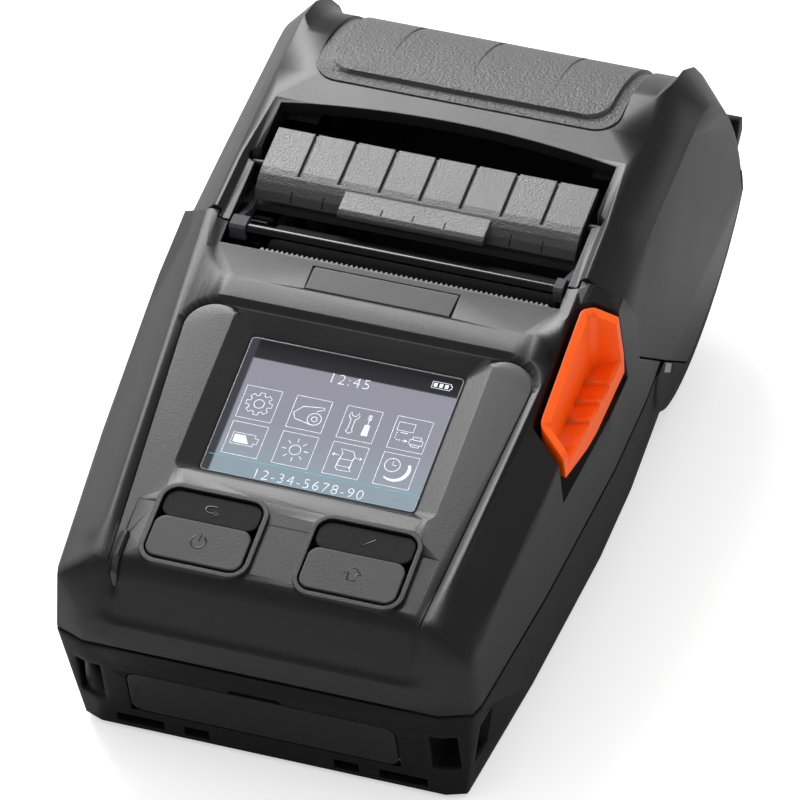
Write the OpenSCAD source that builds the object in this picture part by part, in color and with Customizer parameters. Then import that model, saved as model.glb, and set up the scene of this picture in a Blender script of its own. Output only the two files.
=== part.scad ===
// Portable thermal printer with a sloped display panel and a roll belly at the rear.
// The case frame has X across, Y from the front face to the rear, Z up from the flat underside.
// The whole object is then tipped a little so that it stands on its front edge and its belly.

/* [Case] */
// Half width of the case at its widest, on the seam
case_half = 46.4; // [45.8:0.1:47.5]
// Half width of the flat front face
front_half = 35; // [33:0.5:37]
// Half width at the rear end of each front corner chamfer
corner_half = 41; // [40:0.5:42]
// Depth of the front corner chamfer
corner_depth = 2.3; // [1.5:0.1:3.5]
// Y of the place where the sides reach full width
full_width_y = 72; // [66:1:78]
// Height of the seam between the lower and the upper case
seam_z = 25.7; // [24.5:0.1:27]
// Height of the dark groove at the seam
seam_gap = 0.8; // [0.4:0.1:1.2]
// Wall thickness of all the casings
wall = 2.2; // [1.8:0.1:2.6]
// How far each side draws in from the seam down to the underside
low_draft = 3.8; // [3:0.1:4.5]
// How far each side draws in from the seam up to the top
high_draft = 3.4; // [2.5:0.1:4]
// Gap between the lid and the cases
part_gap = 0.4; // [0.3:0.05:0.5]

/* [Panel] */
// Height of the panel plane above the front face
panel_z = 42.4; // [41.5:0.1:43.5]
// Slope of the panel
panel_angle = 11.2; // [10:0.1:12]
// Y at which the panel turns down to the front face
panel_front_y = 5.2; // [4.5:0.1:6]
// Y of the panel edge at the paper mouth
lip_y = 79; // [78:0.5:80]
// Half width of the shoulder ridge at the front face
ridge_front = 32.5; // [32:0.1:33]
// Growth of the ridge half width for each millimetre towards the rear
ridge_flare = 0.065; // [0.06:0.001:0.068]
// Slope of the shoulders
shoulder_angle = 33; // [31:1:35]
// Height of the raised rim round the sunk panel fields
rim_h = 0.8; // [0.5:0.1:1]
// Width of the sloping wall of that rim
rim_w = 2; // [1.6:0.1:2.3]
// Y of the rear edge of the display field
inset_rear_y = 65.4; // [65:0.1:66]
// Y of the front edge of the field round the paper mouth
lip_field_y = 72.4; // [72:0.1:73]

/* [Display] */
// Width of the display window
window_w = 42.3; // [41:0.1:43.5]
// Length of the display window along the panel
window_l = 31.3; // [30.5:0.1:32]
// Width of the sloped border at the left, right and rear of the window
bezel_side = 4.6; // [4:0.1:5]
// Width of the sloped border at the front of the window
bezel_front = 2; // [1.5:0.1:2.5]
// Depth of the window below the panel
window_depth = 1.6; // [1.2:0.1:2]
// Distance along the panel to the middle of the window
window_s = 46; // [45:0.1:47]
// Thickness of the lens
lens_t = 1.2; // [0.8:0.1:1.4]

/* [Keys] */
// Distance from the centre plane to the middle of each key cluster
cluster_x = 15.1; // [14.5:0.1:15.8]
// Width of the opening of a key cluster
cluster_w = 19.8; // [19:0.1:20.6]
// Length of the opening of a key cluster along the panel
cluster_l = 16.4; // [16:0.1:17]
// Distance along the panel to the middle of a cluster
cluster_s = 16; // [15.6:0.1:16.2]
// Width of the raised ring round a cluster
ring_w = 1; // [0.7:0.1:1.2]
// Height of the raised ring
ring_h = 0.6; // [0.4:0.1:1]
// Length of the upper key
small_key_l = 6; // [5.4:0.1:6.4]
// Gap round and between the keys
key_gap = 0.45; // [0.35:0.05:0.6]
// How far a key travels
key_travel = 0.6; // [0.4:0.1:0.8]

/* [Roll] */
// Y of the paper roll axis
roll_y = 127.6; // [127:0.1:128.2]
// Height of the paper roll axis
roll_z = 30.5; // [30.2:0.1:30.8]
// Outer radius of the belly and of the lid
roll_r = 34.5; // [34.2:0.1:34.8]
// Radius of the lower edge of the lid cheeks
cheek_r = 27.4; // [26.8:0.1:28]
// Half width inside the cheeks
cheek_in = 41.2; // [40.9:0.1:41.4]
// Half width of the shoulder ridge on the lid
lid_ridge = 37.8; // [37.2:0.1:38.4]
// Wall of the paper bucket
bucket_t = 1.4; // [1.2:0.1:1.6]
// Half width inside the paper bucket
bucket_half = 34; // [33.6:0.1:34.2]
// Travel of each paper guide
guide_travel = 4.5; // [3:0.5:5]

/* [Print mechanism] */
// Y of the platen axis
platen_y = 87.5; // [87.4:0.1:87.6]
// Height of the platen axis
platen_z = 50.3; // [50.2:0.1:50.4]
// Radius of the rubber platen
platen_r = 5; // [4.8:0.1:5.1]
// Middle of the print line, right of the centre plane
print_x = 2.6; // [2.4:0.1:2.6]
// Half length of the rubber
print_half = 28.8; // [28:0.1:28.8]
// Radius of the platen shaft
shaft_r = 1.5; // [1.3:0.1:1.7]
// Outer radius of the shaft bushes
bush_r = 3; // [2.8:0.1:3.1]
// Running clearance of every shaft and pin
fit = 0.05; // [0.03:0.01:0.08]
// Clear gap between pieces that pass each other
clear = 0.3; // [0.25:0.05:0.4]
// Thickness of the sheet metal plates
plate_t = 1.6; // [1.4:0.1:1.6]
// Inner face of the frame side plates, from the centre plane
frame_x = 32; // [31.9:0.1:32.1]
// Half width of the mouth that the paper leaves through
mouth_half = 34; // [33.6:0.1:34.2]
// Pitch of the tear bar teeth
tooth_pitch = 1; // [0.8:0.1:1.4]
// Module of the gears
gear_module = 0.5; // [0.46:0.01:0.52]
// Teeth of the platen gear
platen_teeth = 22; // [21:1:22]
// Teeth of the idler gear
idler_teeth = 34; // [33:1:34]
// Teeth of the motor pinion
pinion_teeth = 14; // [13:1:15]
// Radius of the stepper motor
motor_r = 8; // [7.5:0.1:8.2]

/* [Battery] */
// Width of the battery pack
battery_w = 46; // [44:1:48]
// Length of the battery pack
battery_l = 62; // [60:1:64]
// Height of the battery pack
battery_h = 20; // [19:0.5:20.5]
// Y of the rear end of the battery pack
battery_rear = 93.6; // [93:0.1:93.8]
// Travel of the battery latch
latch_travel = 2.5; // [2:0.1:3]

/* [Hidden] */
$fn = 64;
// Sides of a shape that ends up in a hull
hull_fn = 32;
far = 200;
eps = 0.01;

// Front face, underside and stance
front_y = 0.4;
toe_y = front_y + low_draft;
base_run = roll_y - toe_y;
sit_tilt = asin(roll_r / norm([base_run, roll_z])) - atan2(roll_z, base_run);
rest_cut = 0.25;
lift = toe_y * sin(sit_tilt) + rest_cut;
foot_chamfer = 1.2;
trough_y = 172.6;
trough_z = 28.6;
mid_y = (front_y * cos(sit_tilt) - seam_z * sin(sit_tilt)
    + trough_y * cos(sit_tilt) - trough_z * sin(sit_tilt)) / 2;
low_angle = atan2(low_draft, seam_z);
under_seam = seam_z - seam_gap / 2;
over_seam = seam_z + seam_gap / 2;
rear_part_z = roll_z - part_gap;

// Lid parting line on the side, as Y and Z
lid_front_top = [86, 59];
arm_front_y = 84.3;
arm_half = 36;
lid_front_mid = [92, 47.3];
lid_front_low = [91.4, 37.6];
cheek_toe = [126.6, 3.9];
hinge_y = 166;
hinge_z = 29.6;
hinge_r = 3;
pin_r = 1.25;

// Mechanism places that follow the platen
shaft_y = platen_y + 3;
shaft_z = platen_z - 16.8;
hook_x = frame_x + plate_t + 0.5;
hook_t = 1.4;
bracket_x = hook_x + hook_t + 0.6;
bracket_t = 1.2;
print_left = print_x - print_half;
print_right = print_x + print_half;
gear_w = 3.4;
gear_left = -frame_x + 0.6;
motor_face = gear_left + gear_w + 1.4;
catch_y = platen_y + 1.8;
catch_z = platen_z + 2.6;
catch_r = 1.2;
peel_y = platen_y - 3.5;
peel_z = platen_z + 7.6;
peel_r = 1.2;
head_face = platen_y - platen_r - clear;
head_pivot_y = head_face - 4.6;
head_pivot_z = platen_z - 17.3;
flap_y = 101;
flap_z = 59;
flap_half = mouth_half - 1.6;
ear_w = 2.8;
slot_angle = atan2(platen_z - hinge_z, hinge_y - platen_y);
// The tear bar lies in a pocket under the lip of the mouth
lip_t = 0.9;
tear_t = 0.8;
tear_reach = 0.7;
tooth_h = 0.6;
tear_depth = 7.9;
spring_wall_y = 70;
spring_places = [-8, 15];
tab_places = [0, 22];

battery_front = battery_rear - battery_l;

// Gear centres: the idler lies below the platen gear, the pinion in front of the idler
gear_slack = 0.06;
idler_gap = gear_module * (platen_teeth + idler_teeth) / 2 + gear_slack;
pinion_gap = gear_module * (idler_teeth + pinion_teeth) / 2 + gear_slack;
idler_dir = 238;
pinion_dir = 190;
idler_c = [platen_y + idler_gap * cos(idler_dir), platen_z + idler_gap * sin(idler_dir)];
pinion_c = [idler_c[0] + pinion_gap * cos(pinion_dir), idler_c[1] + pinion_gap * sin(pinion_dir)];

// Lever recess in the right shoulder, as X and Y
recess_plan = [[36.9, 52.4], [36.9, 79.6], [39.4, 82.4], [52, 86], [52, 43.6]];
recess_floor = 38.6;
recess_round = 2.2;

// Soft crest of the ridge, and soft edge where the shoulder meets the side
crest_angles = [2, 18];
crest_cut = 0.3;
edge_angles = [49, 67];
edge_cut = 0.8;
edge_x = 41.6;
lever_gap = 1.4;

case_dark = [0.10, 0.10, 0.11];
case_gray = [0.13, 0.13, 0.14];
steel = [0.72, 0.73, 0.75];
board_green = [0.05, 0.22, 0.12];

function panel_at(y) = panel_z + y * tan(panel_angle);
function ridge_at(y) = ridge_front + ridge_flare * y;
function arc_pts(c, r, a0, a1, n) = [for (i = [0:n]) c + r * [cos(a0 + (a1 - a0) * i / n), sin(a0 + (a1 - a0) * i / n)]];
function turned(p, c, a) = c + [
    (p[0] - c[0]) * cos(a) - (p[1] - c[1]) * sin(a),
    (p[0] - c[0]) * sin(a) + (p[1] - c[1]) * cos(a)
];

// Puts a shape of the case frame on the table
module stand() {
    translate([0, -mid_y, -lift]) rotate([sit_tilt, 0, 0]) children();
}
// Panel frame: X across, Y along the slope from above the front face, Z out of the panel
module on_panel() {
    translate([0, 0, panel_z]) rotate([panel_angle, 0, 0]) children();
}
// Front frame: X across, Y into the case, Z up along the drafted front face from the seam
module on_front() {
    translate([0, front_y, seam_z]) rotate([low_angle, 0, 0]) children();
}
// Extrudes a Y-Z outline across the case from x0 to x1
module across(x0, x1) {
    translate([x0, 0, 0]) rotate([90, 0, 90]) linear_extrude(x1 - x0) children();
}
module rod(x0, x1, r, y, z) {
    translate([x0, y, z]) rotate([0, 90, 0]) cylinder(r = r, h = x1 - x0);
}
module both_sides() {
    children();
    mirror([1, 0, 0]) children();
}
// Rectangle with round corners, centred
module round_rect(w, l, r) {
    square([w - 2 * r, l], center = true);
    square([w, l - 2 * r], center = true);
    for (x = [-1, 1], y = [-1, 1]) translate([x * (w / 2 - r), y * (l / 2 - r)]) circle(r);
}
module screw(r, l, head_r, head_h) {
    difference() {
        union() {
            cylinder(r = r, h = l);
            translate([0, 0, -head_h]) cylinder(r = head_r, h = head_h);
        }
        translate([0, 0, -head_h - eps]) cylinder(r = head_r * 0.5, h = head_h * 0.6, $fn = 6);
    }
}
// One unbroken wire: a helix tube of round turns about Z, as triangles
module spring(r, wire, turns, pitch, rings = 8, sides = 6) {
    n = turns * rings;
    function mid(i) = [r * cos(360 * i / rings), r * sin(360 * i / rings), pitch * i / rings];
    function out(i) = [cos(360 * i / rings), sin(360 * i / rings), 0];
    pts = [for (i = [0:n], k = [0:sides - 1])
        mid(i) + wire / 2 * (cos(360 * k / sides) * out(i) + sin(360 * k / sides) * [0, 0, 1])];
    skin = [for (i = [0:n - 1], k = [0:sides - 1], half = [0, 1])
        let (a = i * sides + k, b = i * sides + (k + 1) % sides)
        half == 0 ? [a, b, b + sides] : [a, b + sides, a + sides]];
    ends = concat(
        [for (k = [1:sides - 2]) [0, k + 1, k]],
        [for (k = [1:sides - 2]) [n * sides, n * sides + k, n * sides + k + 1]]);
    polyhedron(points = pts, faces = [for (f = concat(skin, ends)) [f[0], f[2], f[1]]]);
}
// Gear with slim straight-flanked teeth about Z
module gear(teeth, w, bore, turn = 0) {
    r = gear_module * teeth / 2;
    tip = r + 0.85 * gear_module;
    root = r - 1.1 * gear_module;
    step = 360 / teeth;
    difference() {
        linear_extrude(w) rotate(turn) polygon([for (i = [0:teeth - 1]) let (a = i * step) each [
            root * [cos(a - 0.30 * step), sin(a - 0.30 * step)],
            tip * [cos(a - 0.12 * step), sin(a - 0.12 * step)],
            tip * [cos(a + 0.12 * step), sin(a + 0.12 * step)],
            root * [cos(a + 0.30 * step), sin(a + 0.30 * step)]
        ]]);
        translate([0, 0, -1]) cylinder(r = bore, h = w + 2);
    }
}

// Plan of the case on the seam
module plan(inset = 0) {
    right = [
        [front_half, front_y], [corner_half, front_y + corner_depth], [corner_half + 0.8, front_y + 5],
        [(corner_half + case_half) / 2 + 0.8, full_width_y / 2], [case_half, full_width_y],
        [case_half, 92], [case_half - 1.4, 118]
    ];
    left = [for (i = [len(right) - 1:-1:0]) [-right[i][0], right[i][1]]];
    offset(delta = -inset) polygon(concat(right, left));
}
// Drafted block below the seam
module low_block(inset, floor_z, top_z) {
    hull() {
        translate([0, 0, floor_z]) linear_extrude(eps) plan(inset + low_draft + foot_chamfer);
        translate([0, 0, floor_z + foot_chamfer]) linear_extrude(eps) plan(inset + low_draft * (1 - foot_chamfer / seam_z));
        translate([0, 0, top_z - eps]) linear_extrude(eps) plan(inset);
    }
}
// Drafted block above the seam
module high_block(inset, base_z, top_z) {
    hull() {
        translate([0, 0, base_z]) linear_extrude(eps) plan(inset);
        translate([0, 0, top_z - eps]) linear_extrude(eps) plan(inset + high_draft);
    }
}
// Six-sided girth of the case, which keeps belly and lid in line with the drafted sides
module girth(inset = 0) {
    w = case_half - inset;
    translate([0, 60, 0]) rotate([-90, 0, 0]) linear_extrude(120) mirror([0, 1]) polygon([
        [-w + low_draft + 0.6, -4 - 1], [-w, seam_z], [-w + high_draft, 60], [-w + high_draft, 80],
        [w - high_draft, 80], [w - high_draft, 60], [w, seam_z], [w - low_draft - 0.6, -4 - 1]
    ]);
}
// Body of revolution about the roll axis with chamfered ends
module belly(r, flat, half, side_r) {
    translate([0, roll_y, roll_z]) rotate([0, 90, 0]) rotate_extrude($fn = 96)
        polygon([[0, -half], [side_r, -half], [r, -flat], [r, flat], [side_r, half], [0, half]]);
}
module belly_out() {
    belly(roll_r, lid_ridge, case_half, roll_r - 6.2);
}
module belly_in() {
    belly(roll_r - wall, lid_ridge - 1.2, cheek_in, roll_r - wall - 3.1);
}
// Side outline of the lid: cheeks, arms and the arc over the roll
module lid_outline(g) {
    c = [roll_y, roll_z];
    polygon(concat(
        [lid_front_top + [-g, 30], lid_front_top + [-g, 0], lid_front_mid + [-g, 0],
         lid_front_low + [-g, -g * 0.4], cheek_toe + [-g * 0.7, -g * 0.7]],
        arc_pts(c, cheek_r + g, -86, -0.5, 24),
        [[roll_y + roll_r + 8, rear_part_z - 0.02 - g + part_gap], [roll_y + roll_r + 8, 90]]));
}
// Arms of the lid, a little longer inside the rims of the mouth
module arm_outline(g) {
    across(-arm_half - g, arm_half + g)
        polygon([[arm_front_y - g, 54], [lid_front_top[0] + 1, 54], [lid_front_top[0] + 1, 90], [arm_front_y - g, 90]]);
}
// Outer or inner form of the lid
module lid_form(inset) {
    crest = [[84, 60.3], [100, 62.2], [124, 63.9], [139, 64.5], [146, 62.4], [152.5, 57.8], [157.5, 51.6],
        [161, 44.2], [162.6, 36.5], [162.8, 27]];
    centre = [120, 40];
    intersection() {
        hull() {
            across(-lid_ridge + inset * 0.6, lid_ridge - inset * 0.6)
                polygon(concat([[84, 30], crest[0] - [0, inset * 1.1]],
                    [for (p = crest) if (p[0] > 90) p - inset * (p - centre) / norm(p - centre)]));
            across(-case_half + inset, case_half - inset)
                polygon(concat([[84, 30], [84, 50.5 - inset], [100, 51.8 - inset], [124, 52.6 - inset], [138, 53.6 - inset]],
                    arc_pts([roll_y, roll_z], cheek_r + 0.3 - inset, 56, -90, 20), [[120, 3]]));
        }
        girth(inset);
    }
}
// Sunk field between the rims of the lid: a flat front part and a turned rear part
field_front = [84, 59.1];
field_rear = [121, 64];
module lid_field() {
    half = lid_ridge - rim_w - 0.3;
    run = norm(field_rear - field_front);
    top = half + rim_w;
    translate([0, field_front[0], field_front[1]])
        rotate([atan2(field_rear[1] - field_front[1], field_rear[0] - field_front[0]), 0, 0])
        translate([0, run, 0]) rotate([90, 0, 0]) linear_extrude(run + 10)
        polygon([[-half, 0], [half, 0], [top, 1.6], [top, 20], [-top, 20], [-top, 1.6]]);
    translate([0, roll_y, roll_z]) rotate([0, 90, 0]) rotate([0, 0, 85]) rotate_extrude(angle = 104, $fn = 96)
        polygon([[roll_r, -half], [roll_r, half], [roll_r + 1.6, top], [60, top], [60, -top], [roll_r + 1.6, -top]]);
}
// Side profile of the upper case, lowered by d
module top_outline(d) {
    polygon([
        [front_y - 3, 10], [front_y - 3 + d, over_seam + 5.4], [front_y + 0.4 + d, over_seam + 5.6],
        [panel_front_y - 1.1 + d, panel_at(panel_front_y) - 2.3 + rim_h - d],
        [panel_front_y + 0.3 + d * 0.6, panel_at(panel_front_y) - 0.4 + rim_h - d],
        [panel_front_y + 2.2 + d * 0.3, panel_at(panel_front_y + 2.2) + rim_h - d],
        [130, panel_at(130) + rim_h - d], [130, 10]
    ]);
}
// Everything below a plane that runs with the ridge, at x from the centre and z in front, and falls outwards
module under_slope(angle, x, z) {
    drop = tan(angle);
    n = [drop, -tan(panel_angle) - ridge_flare * drop, 1];
    translate([x, 0, z])
        rotate([asin(-n[1] / norm(n)), atan2(n[0], n[2]), 0]) translate([-150, -100, -200]) cube([300, 400, 200]);
}
// Shoulders, with a soft crest and a soft lower edge where the sides begin, all lowered by d
module roof(d) {
    x = ridge_front - d * 0.4;
    z = panel_z + rim_h - d;
    reach = edge_x - ridge_front;
    intersection_for(side = [0, 1]) mirror([side, 0, 0]) intersection() {
        under_slope(shoulder_angle, x, z);
        intersection_for(a = crest_angles) under_slope(a, x, z - crest_cut);
        intersection_for(a = edge_angles)
            under_slope(a, x + reach, z - reach * tan(shoulder_angle) - edge_cut);
    }
}
module upper_form(inset) {
    intersection() {
        high_block(inset, over_seam, over_seam + 45);
        across(-far, far) top_outline(inset);
        roof(inset);
    }
}
// Plan of the recess with round inner corners, grown outwards
module recess_shape(g) {
    offset(r = recess_round, $fn = 24) offset(delta = g - recess_round) polygon(recess_plan);
}
module lever_recess(g) {
    translate([0, 0, recess_floor - g]) linear_extrude(60) recess_shape(g);
}
module posts(places, r, z0, z1) {
    for (p = places) translate([p[0], p[1], z0]) cylinder(r = r, h = z1 - z0);
}
frame_feet = [[37, 76], [-37, 76], [37, 86], [-37, 86]];
bucket_feet = [[38.2, 112], [-38.2, 112], [38.2, 144], [-38.2, 144]];
case_posts = [[36, 16.5], [-36, 16.5], [36.5, 64], [-36.5, 64]];
board_posts = [[29, 30], [-29, 30], [29, 60], [-29, 60]];
port_posts = [[25, 21], [-25, 21]];
foot_z = 25;
board_z = 23;
port_z = 6.2;

// Casings
module lower_case() {
    color(case_dark) difference() {
        stand() difference() {
            intersection() {
                union() {
                    low_block(0, 0, under_seam);
                    intersection() {
                        union() {
                            belly_out();
                            trough();
                        }
                        girth();
                    }
                }
                across(-far, far) polygon([
                    [-5, -10], [-5, under_seam], [150, under_seam], [150, rear_part_z - part_gap],
                    [163, rear_part_z - part_gap], [163, 60], [190, 60], [190, -10]
                ]);
            }
            difference() {
                union() {
                    low_block(wall, wall, under_seam + 1);
                    belly_in();
                }
                lower_ribs();
            }
            both_sides() across(cheek_in, far) lid_outline(part_gap);
            lower_cuts();
        }
        translate([-far, -far, -far]) cube([2 * far, 2 * far, far]);
    }
}
// Lip behind the lid that holds the hinge
module trough() {
    across(-41, 41) difference() {
        polygon([[150, 6], [160.5, 16.5], [trough_y, 25.5], [trough_y, trough_z], [hinge_y - 4, 33], [150, 28]]);
        translate([hinge_y, hinge_z]) circle(r = hinge_r + 1.2);
        polygon([[hinge_y - 4.2, hinge_z], [hinge_y - 4.2, 50], [hinge_y + 4.4, 50], [hinge_y + 4.2, hinge_z]]);
    }
    for (s = [-1, 1], x = [12, 36]) across(s * x - 2, s * x + 2) difference() {
        hull_pin_ear();
        translate([hinge_y, hinge_z]) circle(r = pin_r);
    }
}
module hull_pin_ear() {
    translate([hinge_y, hinge_z]) circle(r = hinge_r);
    polygon([[hinge_y - 3, hinge_z], [hinge_y + 3, hinge_z], [hinge_y + 3, hinge_z - 5.5], [hinge_y - 3, hinge_z - 8]]);
}
// Solid places inside the lower case: bosses, battery well and eyelet corners
module lower_ribs() {
    posts(case_posts, 3.2, 1, under_seam - 0.6);
    posts(frame_feet, 2.8, 1, foot_z);
    posts(bucket_feet, 2.6, 0.6, 24);
    posts(board_posts, 2.6, 1, board_z);
    posts(port_posts, 2.4, 1, port_z);
    difference() {
        translate([-battery_w / 2 - wall, battery_front - wall - 0.6, 0])
            cube([battery_w + 2 * wall, battery_l + 2 * wall + 0.6, battery_h + 1.8]);
        battery_space(clear);
    }
    both_sides() translate([30.4, 0, 7.2]) cube([16, 15, 13.8]);
    translate([-10, battery_front - 12, 0]) cube([20, 10, 4.8]);
}
module battery_space(g) {
    translate([-battery_w / 2 - g, battery_front - g, -1]) cube([battery_w + 2 * g, battery_l + 2 * g, battery_h + 1 + g]);
}
module lower_cuts() {
    battery_space(clear);
    // Screw holes through the floor
    posts(case_posts, 1.5, -1, 40);
    posts(case_posts, 3, -1, 3);
    posts(frame_feet, 0.9, 14, 40);
    posts(bucket_feet, 0.9, 14, 40);
    posts(board_posts, 0.9, 12, 40);
    posts(port_posts, 0.9, 3, 20);
    // Port recess and its window
    on_front() translate([port_x, 0, 0]) {
        translate([0, 0, port_mid]) rotate([90, 0, 0]) {
            translate([0, 0, -1.6 - 0.3]) linear_extrude(10) round_rect(port_w + 0.6, port_h + 0.6, 2.4);
            translate([0, 0, -8]) linear_extrude(20) round_rect(port_w - 3, port_h - 2.6, 1.6);
            translate([-0.9, port_h / 2, -1.4]) linear_extrude(10) polygon([[-6.1, -0.5], [6.1, -0.5], [4.8, 1.3], [-4.8, 1.3]]);
        }
        rod(-port_w / 2 - clear, port_w / 2 + clear, port_pin_y + 0.55, port_pin_y, port_pin_z);
        rod(-port_w / 2 - 2.2, port_w / 2 + 2.2, port_pin_r, port_pin_y, port_pin_z);
    }
    // Slots along the bottom front edge
    both_sides() for (x = [[12.4, 5], [21.4, 9.6]])
        translate([x[0], -2, 2.3]) cube([x[1], 10, 2.7]);
    // Strap eyelets round the corner pillars
    both_sides() {
        translate([32.4, -2, 9]) cube([5.4, 14.5, 10.2]);
        translate([34, 6.5, 5.2 + 3.8]) cube([20, 6, 10.2]);
    }
    // Slot of the battery latch
    translate([-7.5, battery_front - 11.2, -1]) cube([15, 11.2, 4]);
    // Lid knuckle room between the hinge ears
    for (s = [-1, 1]) across(s * 24 - 9.4, s * 24 + 9.4) polygon([
        [hinge_y - 5, hinge_z - 4.4], [hinge_y + 4.4, hinge_z - 4.4], [hinge_y + 4.4, 45], [hinge_y - 5, 45]]);
}
port_x = -0.75;
port_w = 53.1;
port_h = 11.3;
port_mid = -12.8;
port_pin_y = 1.2;
port_pin_r = 0.6;
port_pin_z = port_mid - port_h / 2 + 1;

module case_gasket() {
    color([0.02, 0.02, 0.02]) stand() intersection() {
        translate([0, 0, under_seam]) linear_extrude(seam_gap) difference() {
            plan(0.9);
            plan(wall - 0.1);
        }
        translate([-60, -5, 0]) cube([120, 105, 60]);
        difference() {
            translate([-80, -5, 0]) cube([160, 110, 60]);
            across(-far, far) lid_outline(part_gap);
        }
    }
}
module upper_case() {
    color(case_gray) stand() difference() {
        upper_form(0);
        difference() {
            upper_form(wall);
            upper_ribs();
        }
        across(-far, far) lid_outline(part_gap);
        arm_outline(part_gap);
        // Mouth and the pocket of the tear bar under its lip
        translate([-mouth_half, lip_y, 20]) cube([2 * mouth_half, 60, 60]);
        on_panel() translate([print_left - 0.8, lip_y / cos(panel_angle) - tear_depth - 0.4, -lip_t - 4])
            cube([2 * print_half + 1.6, tear_depth + 4, 4]);
        upper_cuts();
    }
    color(case_gray) stand() key_rings();
}
module upper_ribs() {
    intersection() {
        lever_recess(1.2);
        translate([30, 40, 0]) cube([30, 60, 80]);
    }
    posts(case_posts, 3, over_seam + 0.2, 60);
    on_panel() translate([0, window_s, -window_depth - lens_t - 2.95]) linear_extrude(5) difference() {
        round_rect(window_w + 6, window_l + 5, 1);
        square([window_w - 1, window_l - 1], center = true);
    }
}
// Outline of the display field on the panel, grown outwards
module display_field(grow) {
    w0 = ridge_at(0) - rim_w + grow;
    w1 = ridge_at(inset_rear_y) - rim_w + grow;
    rear = inset_rear_y / cos(panel_angle) + grow * 0.8;
    r = 6 + grow * 0.5;
    polygon([[-w0, 3], [w0, 3], [w1, rear - r], [-w1, rear - r]]);
    for (s = [-1, 1]) translate([s * (w1 - r), rear - r]) circle(r = r, $fn = hull_fn);
}
// Outline of the field round the mouth, grown outwards
module lip_field(grow) {
    front = lip_field_y / cos(panel_angle) - grow * 0.6;
    w = 34.8 + grow;
    r = 6 + grow * 0.5;
    for (s = [-1, 1]) {
        translate([s * (w - r), front + r]) circle(r = r, $fn = hull_fn);
        translate([s * (w - 1), 95]) square(2, center = true);
    }
}
module front_field(grow) {
    w = ridge_at(0) - rim_w + grow;
    r = 3 + grow * 0.5;
    for (s = [-1, 1]) {
        translate([s * (w - r), r - grow * 0.3]) circle(r = r, $fn = hull_fn);
        translate([s * (w - 1), 14]) square(2, center = true);
    }
}
module sink(steep = 2) {
    hull() {
        linear_extrude(eps) children(0);
        translate([0, 0, steep * rim_h]) linear_extrude(eps) children(1);
    }
}
module inset_tool() {
    w0 = ridge_at(0) - rim_w;
    difference() {
        translate([-w0 + 1, -10, over_seam + 7]) cube([2 * w0 - 2, 30, 30]);
        across(-far, far) top_outline(rim_h);
    }
    on_panel() sink() {
        display_field(0);
        display_field(2 * rim_w);
    }
    on_panel() sink() {
        lip_field(0);
        lip_field(2 * rim_w);
    }
    translate([0, front_y + 0.4 + rim_h, over_seam + 5.6])
        rotate([atan2(panel_at(panel_front_y) - 2.3 + rim_h - over_seam - 5.6, panel_front_y - 1.5 - front_y), 0, 0]) sink() {
            front_field(0);
            front_field(2 * rim_w);
        }
}
module upper_cuts() {
    inset_tool();
    on_panel() translate([0, 0, -line_depth]) linear_extrude(4) difference() {
        display_field(0);
        display_field(-line_w);
    }
    lever_recess(0);
    // Slot for the lever arm
    translate([arm_x - 0.6, 71, 30]) cube([arm_t + 1.2, 18, 13]);
    // Display: sloped border and window
    on_panel() translate([0, window_s, 0]) {
        hull() {
            translate([0, (bezel_side - bezel_front) / 2, 0.01]) linear_extrude(eps)
                round_rect(window_w + 2 * bezel_side, window_l + bezel_side + bezel_front, 2, $fn = hull_fn);
            translate([0, 0, -window_depth]) linear_extrude(eps) round_rect(window_w, window_l, 0.6, $fn = hull_fn);
        }
        translate([0, 0, -8]) linear_extrude(10) round_rect(window_w, window_l, 0.6);
        translate([0, 0, -window_depth - lens_t - 3]) linear_extrude(lens_t + 3) square([window_w + 3, window_l + 3], center = true);
    }
    // Key openings
    for (s = [-1, 1]) on_panel() translate([s * cluster_x, cluster_s, -12]) linear_extrude(20)
        round_rect(cluster_w, cluster_l, 3);
    // Light slit
    light_slit(0.1);
    // Nameplate recess
    on_panel() translate([0, name_s, -0.3]) linear_extrude(2) square([29.6, 5.6], center = true);
    // Screw holes from below
    posts(case_posts, 1, 20, 36);
}
name_s = 76.4;
line_w = 0.3;
line_depth = 0.3;
module light_slit(g) {
    translate([-29.2, 8.2, 36]) linear_extrude(14) round_rect(1.2 + 2 * g, 8.4 + 2 * g, 0.5 + g);
}
module key_rings() {
    for (s = [-1, 1]) on_panel() translate([s * cluster_x, cluster_s, -2.4]) linear_extrude(2.4 + ring_h) difference() {
        round_rect(cluster_w + 2 * ring_w, cluster_l + 2 * ring_w, 4);
        round_rect(cluster_w, cluster_l, 3);
    }
}
module display_lens() {
    color([0.05, 0.06, 0.08, 0.6]) stand() on_panel()
        translate([0, window_s, -window_depth - lens_t]) linear_extrude(lens_t)
        square([window_w + 2.6, window_l + 2.6], center = true);
}
module lcd_module() {
    color([0.55, 0.6, 0.62]) stand() on_panel() translate([0, window_s, -window_depth - lens_t - 4.2]) {
        translate([-window_w / 2 - 0.6, -window_l / 2 - 0.6, 1.2]) cube([window_w + 1.2, window_l + 1.2, 3]);
        translate([-window_w / 2 - 2, -window_l / 2 - 2, 0]) cube([window_w + 4, window_l + 4, 1.2]);
    }
}
module light_pipe() {
    color([0.6, 0.65, 0.66]) stand() intersection() {
        light_slit(0);
        upper_form(0.25);
    }
}
module nameplate() {
    color([0.2, 0.2, 0.21]) stand() on_panel() translate([0, name_s, -0.3]) linear_extrude(0.4)
        polygon([[-14.6, -2.6], [14.2, -2.6], [14.6, 2.6], [-14.2, 2.6]]);
}

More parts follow.
